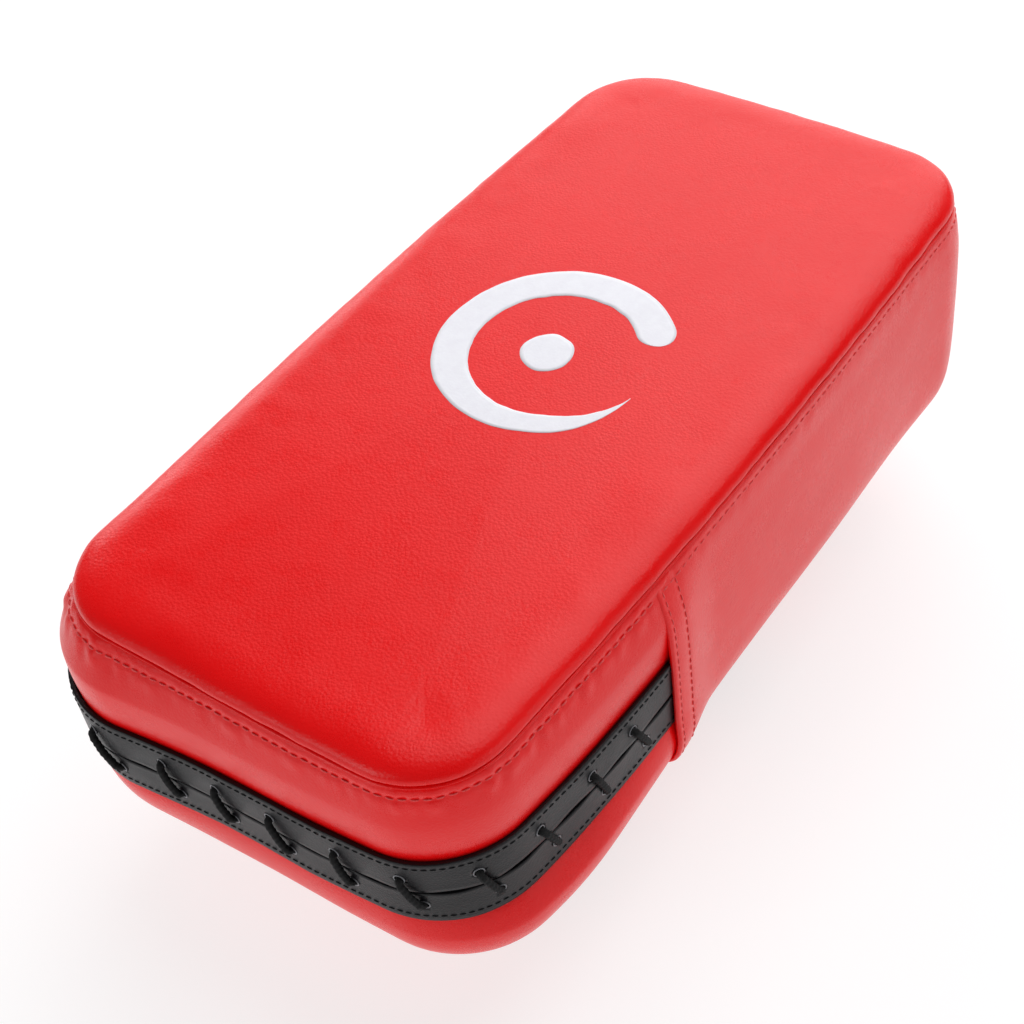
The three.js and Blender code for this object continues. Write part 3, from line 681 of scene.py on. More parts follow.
# Profiles of the walls from the seam down: (distance outside the outline, height over the seam).
SEAM_TURN = [(-1.7, 0.0), (-0.6, -0.7), (0.0, -1.9), (0.15, -3.7), (-0.35, -5.3), (0.4, -6.8)]
UPPER_PROFILE = SEAM_TURN + [(1.0, -11), (1.7, -19), (1.5, -27), (0.8, -34), (0.1, -39.5), (-0.3, -45)]
LOWER_PROFILE = [
    (-0.3, -68), (0.2, -73.5), (1.2, -79), (1.5, -86), (0.6, -94),
    (-2.5, -102), (-8.5, -107.6), (-13, -108.6), (-17, -108.4), (-21, -108),
]
SIDE_PROFILE = SEAM_TURN + [
    (1.0, -13), (1.8, -32), (2.2, -58), (2.1, -78), (1.2, -92), (-2.2, -102),
    (-8.0, -107.4), (-13.8, -108.6), (-20.5, -108),
]
STITCH_DROP = 5.3       # the top stitching, under the seam
RED_PITCH = 4.2
SIDE_BLEND = (212, 8)   # where, and over how much of the rim, the near wall's swell gives way to the sides'


def swell(s, drop):
    """How far the foam pushes the walls out past the seam, most at the near corners."""
    s = wrap(s)
    near = WALL_SWELL + bulge(s, *LEFT_CORNER_SWELL) + bulge(s, *RIGHT_CORNER_SWELL)
    far = SIDE_SWELL + bulge(abs(s), *FAR_CORNER_SWELL)
    share = 1 / (1 + exp((abs(s) - SIDE_BLEND[0]) / SIDE_BLEND[1]))
    depth = float(np.interp(drop, (0, 6, 20, 45, 80, 95, 108), (0, 0.34, 0.82, 1, 0.95, 0.84, 0.3)))
    low = float(np.interp(drop, (74, 86, 100, 108), (0, 1, 1, 0.5)))
    return (near * share + far * (1 - share)) * depth + bulge(s, *RIGHT_SAG) * low


def pucker(s, drop):
    """Small gathers where the wall meets the top stitching, strongest round the near corners."""
    near_corner = bulge(abs(s), *NEAR_CORNER_PUCKER) if abs(s) < 2 * HEM_S else 0
    window = bell(drop, 8.2, 3.2) + 0.5 * bell(drop, 2.8, 1.4)
    return window * (0.7 + near_corner) * rough(s, 0, 21, 4.2)


def make_wall(name, profile, columns, count, replaces, extra):
    """A side wall: a profile carried along the rim, with `extra` moving each point outwards."""
    rows = []
    for n, up in smooth_profile(profile, count):
        rows.append([place(s, n + out + extra(s, -up), SEAM_Z + up) for s, out in columns])
    skin(new_grid(name, rows, RED, replaces))


def make_near_gussets():
    def ripple(s, drop):
        return swell(s, drop) + pucker(s, drop) + 0.35 * rough(s, drop, 23, 38) * ease(drop, 8, 20)

    def sag(s, drop):
        return swell(s, drop) + 0.4 * rough(s, drop, 25, 36)

    upper = [(s, 0.0) for s in spread(-HEM_S - 10, HEM_S + 10, 1.7)]
    make_wall("upper_gusset_cover", UPPER_PROFILE, upper, 42, ("upper_gusset",), ripple)
    lower = [(s, 0.0) for s in spread(-HEM_S - 4, HEM_S + 4, 4)]
    make_wall("lower_gusset_cover", LOWER_PROFILE, lower, 32, ("lower_gusset",), sag)


# The folded hem: how far along the panel and out of it each column lies.
HEM_FOLD = [(9, -2.6), (4, -2.65), (1.2, -2.6), (0.2, -2.1), (-0.3, -1.3), (0.0, -0.5), (0.7, 0.0),
            (1.9, 0.12), (2.9, -0.2), (3.9, 0.1), (7.0, 0.2), (10.2, 0.08), (11.2, -0.34), (12.3, 0.0)]
HEM_ROWS = (2.9, 11.2)


def hem_lift(s, drop):
    """How far the side panel stands off at its hems, over the ends of the lacing."""
    settle = 1 - ease(min(s - HEM_S, FAR_HEM_S - s), 8, 36)
    return HEM_LIFT * ease(drop, 1, 26) * (1 - ease(drop, 98, 107)) * settle


def side_extra(s, drop):
    wave = 0.55 * rough(s, drop * 1.4, 27, 60) * ease(drop, 8, 24)
    return swell(s, drop) + hem_lift(s, drop) + pucker(s + 1000, drop) * 0.5 + wave


def hem_columns():
    first = [(HEM_S + along, out) for along, out in HEM_FOLD]
    last = [(FAR_HEM_S - along, out) for along, out in reversed(HEM_FOLD)]
    return first + [(s, 0.0) for s in spread(HEM_S + 15, FAR_HEM_S - 15, 2.6)] + last


def make_side_panel():
    make_wall("side_panel_cover", SIDE_PROFILE, hem_columns(), 48, ("side_panel",), side_extra)
    threads = []
    for mirror in (1, -1):
        for along in HEM_ROWS:
            s = HEM_S + along
            line = [(n, z) for n, z in smooth_profile(SIDE_PROFILE, 90) if -104 < z < -4]
            points = [place(mirror * s, n + side_extra(s, -z) - 0.1, SEAM_Z + z) for n, z in line]
            threads.append((points, [(*rim(mirror * s)[2:], 0)] * len(points)))
    stitches("hem_stitching", threads, RED_THREAD, pitch=RED_PITCH)


def rim_thread(start, end, z, out_at, rise=0.0):
    """A row of thread along the rim, whose stitches face outwards, and upwards by `rise`."""
    around = spread(start, end, 2.5)
    return [place(s, out_at(s), z) for s in around], [(*rim(s)[2:], rise) for s in around]


def make_top_stitching():
    """The row of stitches just under the face seam, all the way round."""
    def on_gusset(s):
        return pucker(s, STITCH_DROP) + swell(s, STITCH_DROP)

    def on_side(s):
        return side_extra(s, STITCH_DROP)

    z = SEAM_Z - STITCH_DROP
    threads = [rim_thread(-HEM_S + 2, HEM_S - 2, z, on_gusset, 0.25)]
    threads.append(rim_thread(HEM_S + 3, FAR_HEM_S - 3, z, on_side, 0.25))
    stitches("top_stitching", threads, RED_THREAD, pitch=RED_PITCH, radius=0.36)


def make_welt():
    """The thin turned edge in the seam between the face and the sides."""
    around = spread(0, LAP, 3.2)[:-1]
    section = [
        (-2.4, -0.9), (-0.9, -0.55), (-0.1, -0.15), (0.15, 0.25), (-0.15, 0.6), (-1.0, 0.75), (-2.4, 0.7),
    ]
    rows = []
    for s in around:
        out, up = 0.18 * rough(s, 0, 31, 5), 0.12 * rough(s, 0, 32, 4)
        rows.append([place(s, n + out, SEAM_Z + z + up) for n, z in section])
    smooth(new_grid("seam_fold", rows, RED, ("face_welt",), wrap_rows=True, wrap_cols=True))


def make_back():
    around = spread(0, LAP, 5)[:-1]
    rows = []
    for inset, z in ((20.6, 1.6), (21.4, 0.5), (22.6, 0.1), (25, 0.0), (30, 0.05)):
        rows.append([place(s, -inset, BACK_Z + z + 0.1 * rough(s, inset, 35, 20)) for s in around])
    for shrink in (0.8, 0.55, 0.3, 0.08):
        rows.append([(x, y, BACK_Z + 0.15) for x, y in shrunk_loop(around, 30, shrink)])
    closed_sheet("back_cover", rows, RED, ("back_panel",))
    section = [(-22.2, 0.4), (-21.6, -0.25), (-20.9, -0.45), (-20.2, -0.25), (-19.7, 0.4), (-20.9, 1.2)]
    rows = [[place(s, n, BACK_Z + z) for n, z in section] for s in around]
    smooth(new_grid("back_seam_fold", rows, RED, ("back_welt",), wrap_rows=True, wrap_cols=True))


# ---- lacing


def lace_holes():
    """Each stitch's upper hole and lower hole: rim distance, and height over the band's middle."""
    holes = []
    for i in range(LACE_COUNT):
        low = LACE_FIRST + i * LACE_PITCH + random.uniform(-1.1, 1.1)
        slant = LACE_SLANT + random.uniform(-1.2, 1.4)
        up_z = HOLE_Z + random.uniform(-0.5, 0.5)
        low_z = -HOLE_Z + random.uniform(-0.5, 0.5)
        holes.append((low - slant, up_z, low, low_z))
    return holes


HOLES = lace_holes()
STRIP_SIDES = 26
LACE_SIDES = 16
BRAID_PITCH = 4.4
KNOT_RISE = 0.81        # how far the knot at each end stands out of the lace
KNOT_RUN = 2.4


def slit_opening(s):
    """Half the gap between the two strips: drawn shut by each stitch, slack in between."""
    nearest = min(abs(s - (up + low) / 2) for up, _, low, _ in HOLES)
    slack = 0.3 + 0.6 * ease(s, 30, 110) + 0.3 * rough(s, 0, 41, 30)
    return 0.18 + max(slack, 0.12) * ease(nearest, 2, 12)


def strip_wave(s, z):
    return swell(s, SEAM_Z - z) + 0.35 * rough(s, z, 43, 30) + 0.12 * rough(s, z, 44, 8)


def strip_loop(s, low, high):
    """A folded strip's section at s, from its outer face round both turned edges."""
    r = STRIP_T / 2
    middle, tall = (low + high) / 2, (high - low) / 2 - r
    loop = []
    for angle in turns(STRIP_SIDES):
        side, up = cos(angle), sin(angle)
        z = middle + r * up * 0.9 + tall * max(-1, min(1, 1.25 * up))
        thick = r * (0.78 + 0.3 * ease(abs(z - middle) / (tall + r), 0.72, 0.92))
        n = STRIP_IN + r + thick * copysign(abs(side) ** 0.45, side)
        loop.append(place(s, n + strip_wave(s, z), z))
    return loop


def make_strip(name, low_at, high_at, holes, node):
    around = spread(-HEM_S - STRIP_RUN, HEM_S + STRIP_RUN, 2.4)
    rows = [strip_loop(s, low_at(s), high_at(s)) for s in around]
    punch(new_grid(name, rows, BLACK, (node,), wrap_cols=True, cap_rows=True), holes)


def punch(strip, holes):
    """Cuts the lace holes through a strip."""
    verts, faces = [], []
    sides = 20
    for s, z in holes:
        faces += grid_faces(2, sides, wrap_cols=True, cap_rows=True, first=len(verts))
        x, y, nx, ny = rim(s)
        for n in (-6, 24):
            for angle in turns(sides):
                along, up = HOLE_R * cos(angle), HOLE_R * sin(angle)
                verts.append((x + n * nx - along * ny, y + n * ny + along * nx, z + up))
    tool = add_to_scene("punches", mesh_mm("punches", verts, faces))
    face_outwards(tool)
    cut = strip.modifiers.new("holes", "BOOLEAN")
    cut.operation = "DIFFERENCE"
    cut.solver = "EXACT"
    cut.object = tool
    bpy.context.view_layer.update()
    shown = strip.evaluated_get(bpy.context.evaluated_depsgraph_get())
    result = bpy.data.meshes.new_from_object(shown)
    strip.modifiers.clear()
    strip.data = result
    bpy.data.objects.remove(tool)


def edge_thread(z):
    return rim_thread(-HEM_S - 8, HEM_S + 8, z, lambda s: STRIP_IN + STRIP_T * 0.94 + strip_wave(s, z))


def lace_route():
    """Control points of the lace: (rim distance, height over the band's middle, out of the strip)."""
    route = []
    ups = [np.array(hole[:2]) for hole in HOLES]
    lows = [np.array(hole[2:]) for hole in HOLES]
    ups.append(lows[-1] + np.array((LACE_PITCH - LACE_SLANT, 2 * HOLE_Z)))
    for i, low in enumerate(lows):
        up, following = ups[i], ups[i + 1]
        over, back = unit(low - up), unit(following - low)
        route += lace_bend(up, unit(up - lows[i - 1]) if i > 0 else back, over, -1)
        for step in (-0.35, 0.0, 0.35):
            at = (up + low) / 2 + (low - up) * step * 0.8
            route.append((*at, LACE_REACH + 0.25 * (1 - abs(step) / 0.35)))
        route += lace_bend(low, over, back, 1)
        if i + 1 < LACE_COUNT:
            for step in (0.35, 0.5, 0.65):
                route.append((*(low + (following - low) * step), -LACE_REACH))
    tail = -LACE_REACH - 0.4
    return [(*(ups[0] - back * 8), tail)] + route + [(*(lows[-1] + back * 8), tail)]


def lace_bend(hole, arrive, leave, side):
    """Through a hole, from one side of the strip (`side` times outward) to the other."""
    points = []
    for degrees in (90, 60, 30, 0, -30, -60, -90):
        angle = radians(degrees)
        way = -arrive if degrees > 0 else leave
        at = hole + way * LACE_REACH * (1 - cos(angle))
        points.append((*at, side * LACE_REACH * sin(angle)))
    return points


def make_lace():
    middle = STRIP_IN + STRIP_T / 2
    control = [place(s, middle + n + strip_wave(s, BAND_MID + z), BAND_MID + z) for s, z, n in lace_route()]
    line = smooth_profile(control, int(run_of(control)[-1] / 0.62))
    run = run_of(line)

    def braid(i, angle):
        twist = run[i] * 2 * pi / BRAID_PITCH
        plait = cos(4 * angle + twist) * cos(4 * angle - twist)
        knot = KNOT_RISE * (bell(run[i], 0, KNOT_RUN) + bell(run[i], run[-1], KNOT_RUN))
        return LACE_R * (1 + 0.2 * plait) + knot

    rows = tube(line, braid, LACE_SIDES)
    new_grid("lace", rows, CORD, ("lace_cord",), wrap_cols=True, cap_rows=True)


def make_hole_rims():
    """The raised edge of each punched hole, in a light grey that paints a highlight on the black strip."""
    verts, faces = [], []
    around, sides = 22, 8
    for s, z in [end for hole in HOLES for end in (hole[:2], hole[2:])]:
        faces += grid_faces(around, sides, wrap_rows=True, wrap_cols=True, first=len(verts))
        nx, ny = rim(s)[2:]
        out, along = np.array((nx, ny, 0)), np.array((-ny, nx, 0))
        height = STRIP_IN + STRIP_T * 0.9 + strip_wave(s, BAND_MID + z)
        middle = np.array(place(s, height, BAND_MID + z))
        for a in turns(around):
            radial = along * cos(a) + np.array((0, 0, 1)) * sin(a)
            for b in turns(sides):
                r = HOLE_R + 0.15 + 0.32 * cos(b)
                verts.append(middle + radial * r + out * 0.26 * sin(b))
    new_object("hole_rims", verts, faces, RIM_HIGHLIGHT)


def make_tongue():
    """The flap behind the lacing."""
    along = spread(LACE_FIRST - 6, LACE_FIRST + LACE_PITCH * (LACE_COUNT - 1) - 4, 6)
    rows = []
    for z in np.linspace(BAND_LOW - 4, BAND_TOP + 4, 8):
        rows.append([place(s, -3.3 + swell(s, SEAM_Z - z), z) for s in along])
    skin(new_grid("tongue", rows, BLACK, ("lace_tongue",)))


def make_lacing():
    make_strip(
        "upper_strip", lambda s: BAND_MID + slit_opening(s), lambda s: BAND_TOP + 0.3 * rough(s, 0, 45, 40),
        [(up, BAND_MID + z) for up, z, _, _ in HOLES], "upper_lace_strip",
    )
    make_strip(
        "lower_strip", lambda s: BAND_LOW + 0.3 * rough(s, 0, 46, 40), lambda s: BAND_MID - slit_opening(s),
        [(low, BAND_MID + z) for _, _, low, z in HOLES], "lower_lace_strip",
    )
    threads = [edge_thread(BAND_TOP - 3.2), edge_thread(BAND_LOW + 3.0)]
    stitches("strip_stitching", threads, STRIP_THREAD, pitch=3.2, radius=0.2)
    make_tongue()
    make_lace()
    make_hole_rims()


# ---- straps and their rings

STRAP_Y = {"near": -103 + MIDDLE_Y, "far": 8 + MIDDLE_Y}
STRAP_W = 48
STRAP_T = 2.2
ANCHOR_X = 78           # the outer ends of the patches that hold the straps, tabs and grip
RIGHT_DROP_X = 55       # where a strap turns down towards the arm
FLAP_END = 42
RING_LEAN = radians(65)
RING_SPAN = 28          # between the ring's two long bars
RING_L = 64
RING_CORNER_R = 4.0
WIRE_R = (1.95, 1.45)   # the wire is oval
TAB_X = -54
TAB_R = 3.8
TAB_T = 1.8
TAB_W = 44
WRAP_R = 5.8            # the strap's fold round the lower bar
TAPE_W = 42
TAPE_GAP = 0.3          # between pieces that lie on each other
HOOK_T = 1.2
LOOP_T = 1.4
PATCH_T = 1.2
PATCH_L = 60
PATCH_INSET = 2.2       # a patch's stitches, in from its edge
ARM_Z = STRAP_T + 3 * TAPE_GAP + HOOK_T + LOOP_T + STRAP_T / 2
PLATE_STEP = 0.9
PLATE_CORNER_R = 3.0
THREAD_IN = 3.0         # a strap's stitches, in from its edge
RIBBON_STEP = 1.6
RIBBON_SIDES = 28

TAB_TOP = BACK_Z - TAPE_GAP - TAB_T / 2

# Places and directions beside the ring, as (X, Z).
RING_WAY = np.array((cos(RING_LEAN), -sin(RING_LEAN)))
ARM_SIDE = np.array((sin(RING_LEAN), cos(RING_LEAN)))
UPPER_BAR = np.array((TAB_X, TAB_TOP - TAB_R))
LOWER_BAR = UPPER_BAR + RING_WAY * RING_SPAN


def arc_line(middle, r, start, end, count=16):
    return [middle + r * np.array((cos(a), sin(a))) for a in np.linspace(start, end, count)]


def rounded_line(corners, radii):
    """A line in X and Z through corners, each rounded to its radius."""
    pts = [np.array(c, float) for c in corners]
    line = [pts[0]]
    for before, corner, after, r in zip(pts, pts[1:], pts[2:], radii):
        into, out = unit(corner - before), unit(after - corner)
        bend = copysign(1, into[0] * out[1] - into[1] * out[0])
        angle = acos(max(-1, min(1, float(into @ out))))
        start = corner - into * r * tan(angle / 2)
        middle = start + np.array((-into[1], into[0])) * bend * r
        first = atan2(*(start - middle)[::-1])
        line += arc_line(middle, r, first, first + bend * angle, max(3, int(angle * r / 1.2) + 2) + 1)
    return line + [pts[-1]]


def even_line(points):
    run = run_of(points)
    return sample(points, run, np.linspace(0, run[-1], max(2, int(run[-1] / RIBBON_STEP)))).T


def line_sides(line):
    along = unit(np.gradient(line, axis=0))
    return np.stack([-along[:, 1], along[:, 0]], axis=1)


def ribbon(name, line, y, width, thickness, material, node, body="pad", round_end=0.0, puff=0.0):
    """A strap along a line in X and Z: soft edges, a little fuller between its stitch rows."""
    line = even_line(line)
    run = run_of(line)
    rows, uvs = [], []
    for p, side, at in zip(line, line_sides(line), run):
        half, left = width / 2, run[-1] - at
        if left < round_end:
            half -= round_end * (1 - sqrt(max(1 - (1 - left / round_end) ** 2, 0.02)))
        row = []
        for angle in turns(RIBBON_SIDES):
            c, s = cos(angle), sin(angle)
            v = half * copysign(min(1, abs(c) ** 0.35), c)
            t = thickness / 2 * copysign(abs(s) ** 0.4, s)
            t *= 1 + puff * (1 - ease(abs(v), half - 6, half - 2.5)) - 0.16 * bell(abs(v), half - 3, 0.8)
            row.append((p[0] + side[0] * t, y + v, p[1] + side[1] * t))
            uvs.append((at / 10, v / 10))
        rows.append(row)
    new_grid(name, rows, material, (node,), body, uvs, wrap_cols=True, cap_rows=True)


def sewn_strap(name, line, y, node, body, trim, **shape):
    """A leather strap with a row of stitches along both edges of both its faces."""
    ribbon(name, line, y, STRAP_W, STRAP_T, BLACK, node, body, **shape)
    line = even_line(line)
    skip = int(trim / RIBBON_STEP)
    kept = list(zip(line, line_sides(line)))[skip:len(line) - skip]
    threads = []
    for face in (1, -1):
        off = face * STRAP_T * 0.46
        for v in (THREAD_IN - STRAP_W / 2, STRAP_W / 2 - THREAD_IN):
            points = [(p[0] + side[0] * off, y + v, p[1] + side[1] * off) for p, side in kept]
            threads.append((points, [(side[0] * face, 0, side[1] * face) for _, side in kept]))
    stitches(f"{name}_stitching", threads, BLACK_THREAD, body)


def strap_line():
    top = BACK_Z - TAPE_GAP - STRAP_T / 2
    leave = LOWER_BAR + ARM_SIDE * WRAP_R
    toe = leave + RING_WAY * (ARM_Z - leave[1]) / RING_WAY[1]
    corners = [(ANCHOR_X, top), (RIGHT_DROP_X + 4, top), (RIGHT_DROP_X - 4, ARM_Z), toe, leave]
    first = atan2(ARM_SIDE[1], ARM_SIDE[0])
    return rounded_line(corners, (6, 12, 9))[:-1] + arc_line(LOWER_BAR, WRAP_R, first, first + pi)


def flap_line():
    leave = LOWER_BAR - ARM_SIDE * WRAP_R + RING_WAY * TAPE_GAP
    level = STRAP_T / 2
    toe = leave + RING_WAY * (level - leave[1]) / RING_WAY[1]
    return rounded_line([leave, toe, (FLAP_END, level)], (11,))


def tab_line():
    leg = TAB_TOP - TAB_T - TAPE_GAP - 0.1
    fold = arc_line(UPPER_BAR, TAB_R, pi / 2, -0.89 * pi, 22)
    return [(-ANCHOR_X, TAB_TOP)] + fold + [(TAB_X - TAB_R - 2, leg), (-ANCHOR_X + 2, leg)]


def make_plate(name, x0, x1, y, width, z0, z1, material, node, body="pad", texture=0.0, seed=1):
    """A flat patch or tape with rounded corners and soft edges."""
    nx, ny = max(6, int((x1 - x0) / PLATE_STEP)), max(6, int(width / PLATE_STEP))
    top, bottom = [], []
    for i in range(nx + 1):
        for j in range(ny + 1):
            x, v = round_corner(x0 + (x1 - x0) * i / nx, -width / 2 + width * j / ny, x0, x1, width)
            edge = min(x - x0, x1 - x, width / 2 - abs(v))
            soft = 0.35 * (1 - ease(edge, 0, 1.1))
            wave = texture * rough(x, v, seed, 0.55)
            top.append((x, y + v, z1 - soft + wave))
            bottom.append((x, y + v, z0 + soft - wave))
    cols, count = ny + 1, len(top)
    faces = grid_faces(nx + 1, cols)
    faces += [tuple(count + k for k in reversed(face)) for face in faces]
    border = (list(range(cols)) + [i * cols + ny for i in range(1, nx + 1)]
              + [nx * cols + j for j in reversed(range(ny))] + [i * cols for i in reversed(range(1, nx))])
    for a, b in zip(border, border[1:] + border[:1]):
        faces.append((b, a, count + a, count + b))
    new_object(name, top + bottom, faces, material, (node,), body)


def round_corner(x, v, x0, x1, width):
    """Moves a point of a square grid so that the grid's corners are rounded."""
    r = PLATE_CORNER_R
    cx = min(max(x, x0 + r), x1 - r)
    cv = min(max(v, r - width / 2), width / 2 - r)
    dx, dv = x - cx, v - cv
    if dx == 0 or dv == 0:
        return x, v
    square = max(abs(dx), abs(dv)) / hypot(dx, dv)
    return cx + dx * square, cv + dv * square


def make_patch(name, x0, x1, y, width, top, cross=True):
    """A leather patch that faces down. Returns its stitched box, and the cross in it."""
    make_plate(f"{name}_leather", x0, x1, y, width, top - PATCH_T, top, BLACK, name)
    a, b = x0 + PATCH_INSET, x1 - PATCH_INSET
    c, d = y - width / 2 + PATCH_INSET, y + width / 2 - PATCH_INSET
    corners = [(a, c), (b, c), (b, d), (a, d), (a, c)]
    lines = [corners[i:i + 2] for i in range(4)]
    if cross:
        lines += [[(a, c), (b, d)], [(a, d), (b, c)]]
    return [([(*p, top - PATCH_T) for p in line], [(0, 0, -1)] * 2) for line in lines]


def make_ring(side, y):
    """A rectangular ring of oval wire."""
    half_u, half_v = RING_SPAN / 2 - RING_CORNER_R, RING_L / 2 - 2 - RING_CORNER_R
    centre = (UPPER_BAR + LOWER_BAR) / 2
    rows = []
    for u, v, start in ((1, 1, 0), (-1, 1, 90), (-1, -1, 180), (1, -1, 270)):
        for degrees in np.linspace(start, start + 90, 9):
            nu, nv = cos(radians(degrees)), sin(radians(degrees))
            row = []
            for a in turns(14):
                out, up = RING_CORNER_R + WIRE_R[0] * cos(a), WIRE_R[1] * sin(a)
                spot = centre + RING_WAY * (u * half_u + nu * out) + ARM_SIDE * up
                row.append((spot[0], y + v * half_v + nv * out, spot[1]))
            rows.append(row)
    smooth(new_grid(f"{side}_wire_ring", rows, STEEL, (f"{side}_ring",), f"{side}_ring_body",
                    wrap_rows=True, wrap_cols=True))


def make_strap(side, y):
    flap = f"{side}_flap"
    sewn_strap(f"{side}_arm_strap", strap_line(), y, f"{side}_strap", "pad", 2, puff=0.06)
    sewn_strap(f"{side}_free_end", flap_line(), y, f"{side}_strap_flap", flap, 11, round_end=9)
    hook_z = STRAP_T + TAPE_GAP
    loop_z = hook_z + HOOK_T + TAPE_GAP
    start, end = LOWER_BAR[0] + 26, FLAP_END - 2
    make_plate(f"{side}_hook_side", start + 4, end, y, TAPE_W, hook_z, hook_z + HOOK_T, HOOK,
               f"{side}_hook_tape", flap, texture=0.16, seed=51)
    make_plate(f"{side}_loop_side", start, end, y, TAPE_W, loop_z, loop_z + LOOP_T, LOOP,
               f"{side}_loop_tape", texture=0.2, seed=52)
    ribbon(f"{side}_tab", tab_line(), y, TAB_W, TAB_T, WEBBING, f"{side}_ring_tab")
    make_ring(side, y)
    tab_top = TAB_TOP - 1.5 * TAB_T - 2 * TAPE_GAP - 0.1
    strap_top = BACK_Z - STRAP_T - 2 * TAPE_GAP
    threads = make_patch(f"{side}_tab_patch", -ANCHOR_X, TAB_X - 7, y, PATCH_L, tab_top)
    threads += make_patch(f"{side}_strap_patch", RIGHT_DROP_X + 9, ANCHOR_X, y, PATCH_L, strap_top)
    stitches(f"{side}_patch_stitching", threads, BLACK_THREAD)


# ---- hand grip

GRIP_Y = 115 + MIDDLE_Y
GRIP_Z = 15
GRIP_R = 13
GRIP_L = 84
SLEEVE_SIDES = 56
RIVET_X = 63
RIVET_Y = 5             # off the grip's middle line, to both sides
RIVET_SIDES = 28
SHANK_R = 2.2
# The rivet's two ends, as (radius, height).
RIVET_HEAD = [
    (0.01, -2.2), (1.4, -2.1), (2.8, -1.7), (3.8, -0.9), (4.15, -0.35), (4.1, -0.05), (3.6, 0), (SHANK_R, 0),
]
RIVET_END = [(SHANK_R, 0.3), (3.3, 0.3), (3.1, 0.9), (1.5, 1.1), (0.01, 1.1)]
GRIP_PATCH_W = 36
GRIP_WEB_W = 20
GRIP_WEB_T = 2.2
GRIP_WEB_TOP = BACK_Z - 2 * TAPE_GAP - PATCH_T
WASHER_TOP = BACK_Z + 2.4 + TAPE_GAP + 1


def grip_line():
    top = GRIP_WEB_TOP - GRIP_WEB_T / 2
    half = GRIP_L / 2 + 5
    corners = [(1 - ANCHOR_X, top), (10 - RIVET_X, top), (-half, GRIP_Z),
               (half, GRIP_Z), (RIVET_X - 10, top), (ANCHOR_X - 1, top)]
    return rounded_line(corners, (3.5, 3.5, 3.5, 3.5))


def grip_point(x, r, angle):
    return (x, GRIP_Y + r * cos(angle), GRIP_Z + r * sin(angle))


def sleeve_fullness(x):
    return 0.5 * cos(pi * x / GRIP_L)


def sleeve_radius(x, angle):
    end = 1 - ease(GRIP_L / 2 - abs(x), 0, 7)
    swollen = sleeve_fullness(x) + 0.22 * rough(x, angle * 9, 61, 9)
    fold = 0.34 * end * cos(9 * angle + 2 * rough(angle * 3, 0, 62))
    seam = 0.55 * bell(angle, pi / 2, 0.075)
    return GRIP_R - 0.7 + swollen + fold - end ** 2 + seam


def make_sleeve():
    """The leather sleeve round the grip's foam, gathered at its ends and closed by a seam."""
    half = GRIP_L / 2
    inside = [[grip_point(x, GRIP_R - 1.3, a) for a in turns(SLEEVE_SIDES)]
              for x in (7 - half, 1.5 - half, 0.4 - half, half - 0.4, half - 1.5, half - 7)]
    outside = [[grip_point(x, sleeve_radius(x, a), a) for a in turns(SLEEVE_SIDES)]
               for x in np.linspace(-half, half, 64)]
    rows = inside[:3] + outside + inside[3:]
    sleeve = new_grid("grip_sleeve", rows, BLACK, ("grip_cover",), wrap_rows=True, wrap_cols=True)
    smooth(sleeve)
    along = np.linspace(4 - half, half - 4, 30)
    threads = []
    for a in (pi / 2 - 0.17, pi / 2 + 0.17):
        points = [grip_point(x, GRIP_R - 0.45 + sleeve_fullness(x), a) for x in along]
        threads.append((points, [(0, cos(a), sin(a))] * len(points)))
    stitches("grip_stitching", threads, BLACK_THREAD)


def make_rivet(number, x, y):
    """A domed head under the webbing, its shank, and the peened end behind the back."""
    head = GRIP_WEB_TOP - GRIP_WEB_T - TAPE_GAP
    profile = [(r, head + z) for r, z in RIVET_HEAD] + [(r, WASHER_TOP + z) for r, z in RIVET_END]
    rows = [[(x + r * cos(a), y + r * sin(a), z) for a in turns(RIVET_SIDES)] for r, z in profile]
    new_grid(f"grip_rivet_{number}", rows, STEEL, (f"rivet_{number}",), wrap_cols=True, cap_rows=True)


def make_grip():
    ribbon("grip_strap", grip_line(), GRIP_Y, GRIP_WEB_W, GRIP_WEB_T, WEBBING, "grip_webbing")
    make_sleeve()
    threads = []
    number = 1
    for side, name in ((-1, "grip_patch_left"), (1, "grip_patch_right")):
        x0, x1 = sorted((side * (RIVET_X - 9), side * ANCHOR_X))
        threads += make_patch(name, x0, x1, GRIP_Y, GRIP_PATCH_W, BACK_Z - TAPE_GAP, cross=False)
        for y in (GRIP_Y - RIVET_Y, GRIP_Y + RIVET_Y):
            make_rivet(number, side * RIVET_X, y)
            number += 1
    stitches("grip_patch_stitching", threads, BLACK_THREAD)


# ---- nodes kept from the CAD


def dress_nodes():
    for name in ("foam_front", "foam_middle", "foam_back", "grip_foam"):
        paint(name, FOAM)
    for number in range(1, 5):
        paint(f"rivet_washer_{number}", STEEL)


def paint(name, material):
    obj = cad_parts[name]
    obj.data.materials.clear()
    obj.data.materials.append(material)


# ---- floor and light

WORLD_LIGHT = 0.15      # the world's strength as light
WORLD_SEEN = 0.80       # and as the background that the camera sees
FLOOR_GLOW = 0.72

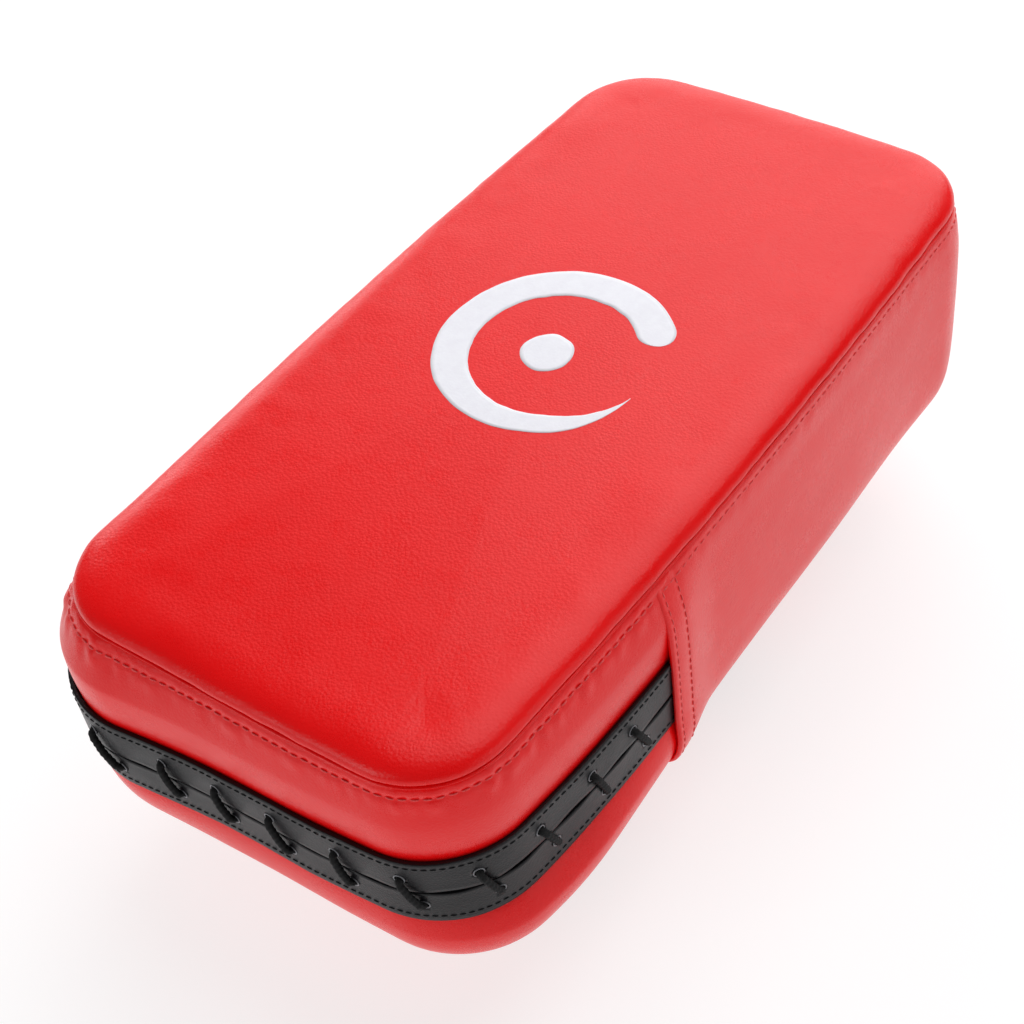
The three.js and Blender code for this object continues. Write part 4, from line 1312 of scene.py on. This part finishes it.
# Soft boxes: where each stands, its size and its power.
LIGHTS = {
    "back_box": ((-0.73, 1.80, 1.12), 1.9, 22),
    "left_box": ((-2.1, 1.0, 0.8), 0.9, 10),
    "top_box": ((0.1, 1.0, 2.2), 2.0, 32),
    "side_box": ((2.0, 0.3, 0.7), 1.0, 5),
    "front_box": ((-0.6, -2.0, 0.9), 1.0, 10),
}


def make_floor():
    bpy.ops.mesh.primitive_plane_add(size=60, location=(0, 0, 0))
    floor = bpy.context.object
    floor.name = "floor"
    n = Nodes("floor")
    color = n.blend(n.noise(3, 2), (0.34, 0.34, 0.35), (0.38, 0.38, 0.38))
    floor.data.materials.append(n.shade(color, 0.9, **{
        "Emission Color": (1, 1, 1, 1), "Emission Strength": FLOOR_GLOW, "Specular IOR Level": 0.1,
    }))


def make_world():
    world = bpy.data.worlds.new("world")
    world.use_nodes = True
    tree = world.node_tree
    background = tree.nodes["Background"].inputs
    background["Color"].default_value = (1, 1, 1, 1)
    rays = tree.nodes.new("ShaderNodeLightPath")
    strength = tree.nodes.new("ShaderNodeMapRange")
    strength.inputs["To Min"].default_value = WORLD_LIGHT
    strength.inputs["To Max"].default_value = WORLD_SEEN
    tree.links.new(rays.outputs["Is Camera Ray"], strength.inputs["Value"])
    tree.links.new(strength.outputs["Result"], background["Strength"])
    bpy.context.scene.world = world


def soft_light(name, at, size, power):
    data = bpy.data.lights.new(name, "AREA")
    data.shape = "SQUARE"
    data.size = size
    data.energy = power
    light = add_to_scene(name, data)
    light.location = at
    aim = Vector((0, 0, 0.1)) - Vector(at)
    light.rotation_euler = aim.to_track_quat("-Z", "Y").to_euler()


# ---- assembly

make_camera()
make_floor()
make_world()
for light_name, settings in LIGHTS.items():
    soft_light(light_name, *settings)
FACE = make_face()
make_mark(FACE)
make_welt()
make_near_gussets()
make_side_panel()
make_top_stitching()
make_back()
make_lacing()
for strap, strap_y in STRAP_Y.items():
    make_strap(strap, strap_y)
make_grip()
dress_nodes()
bpy.context.scene.view_settings.view_transform = "Standard"
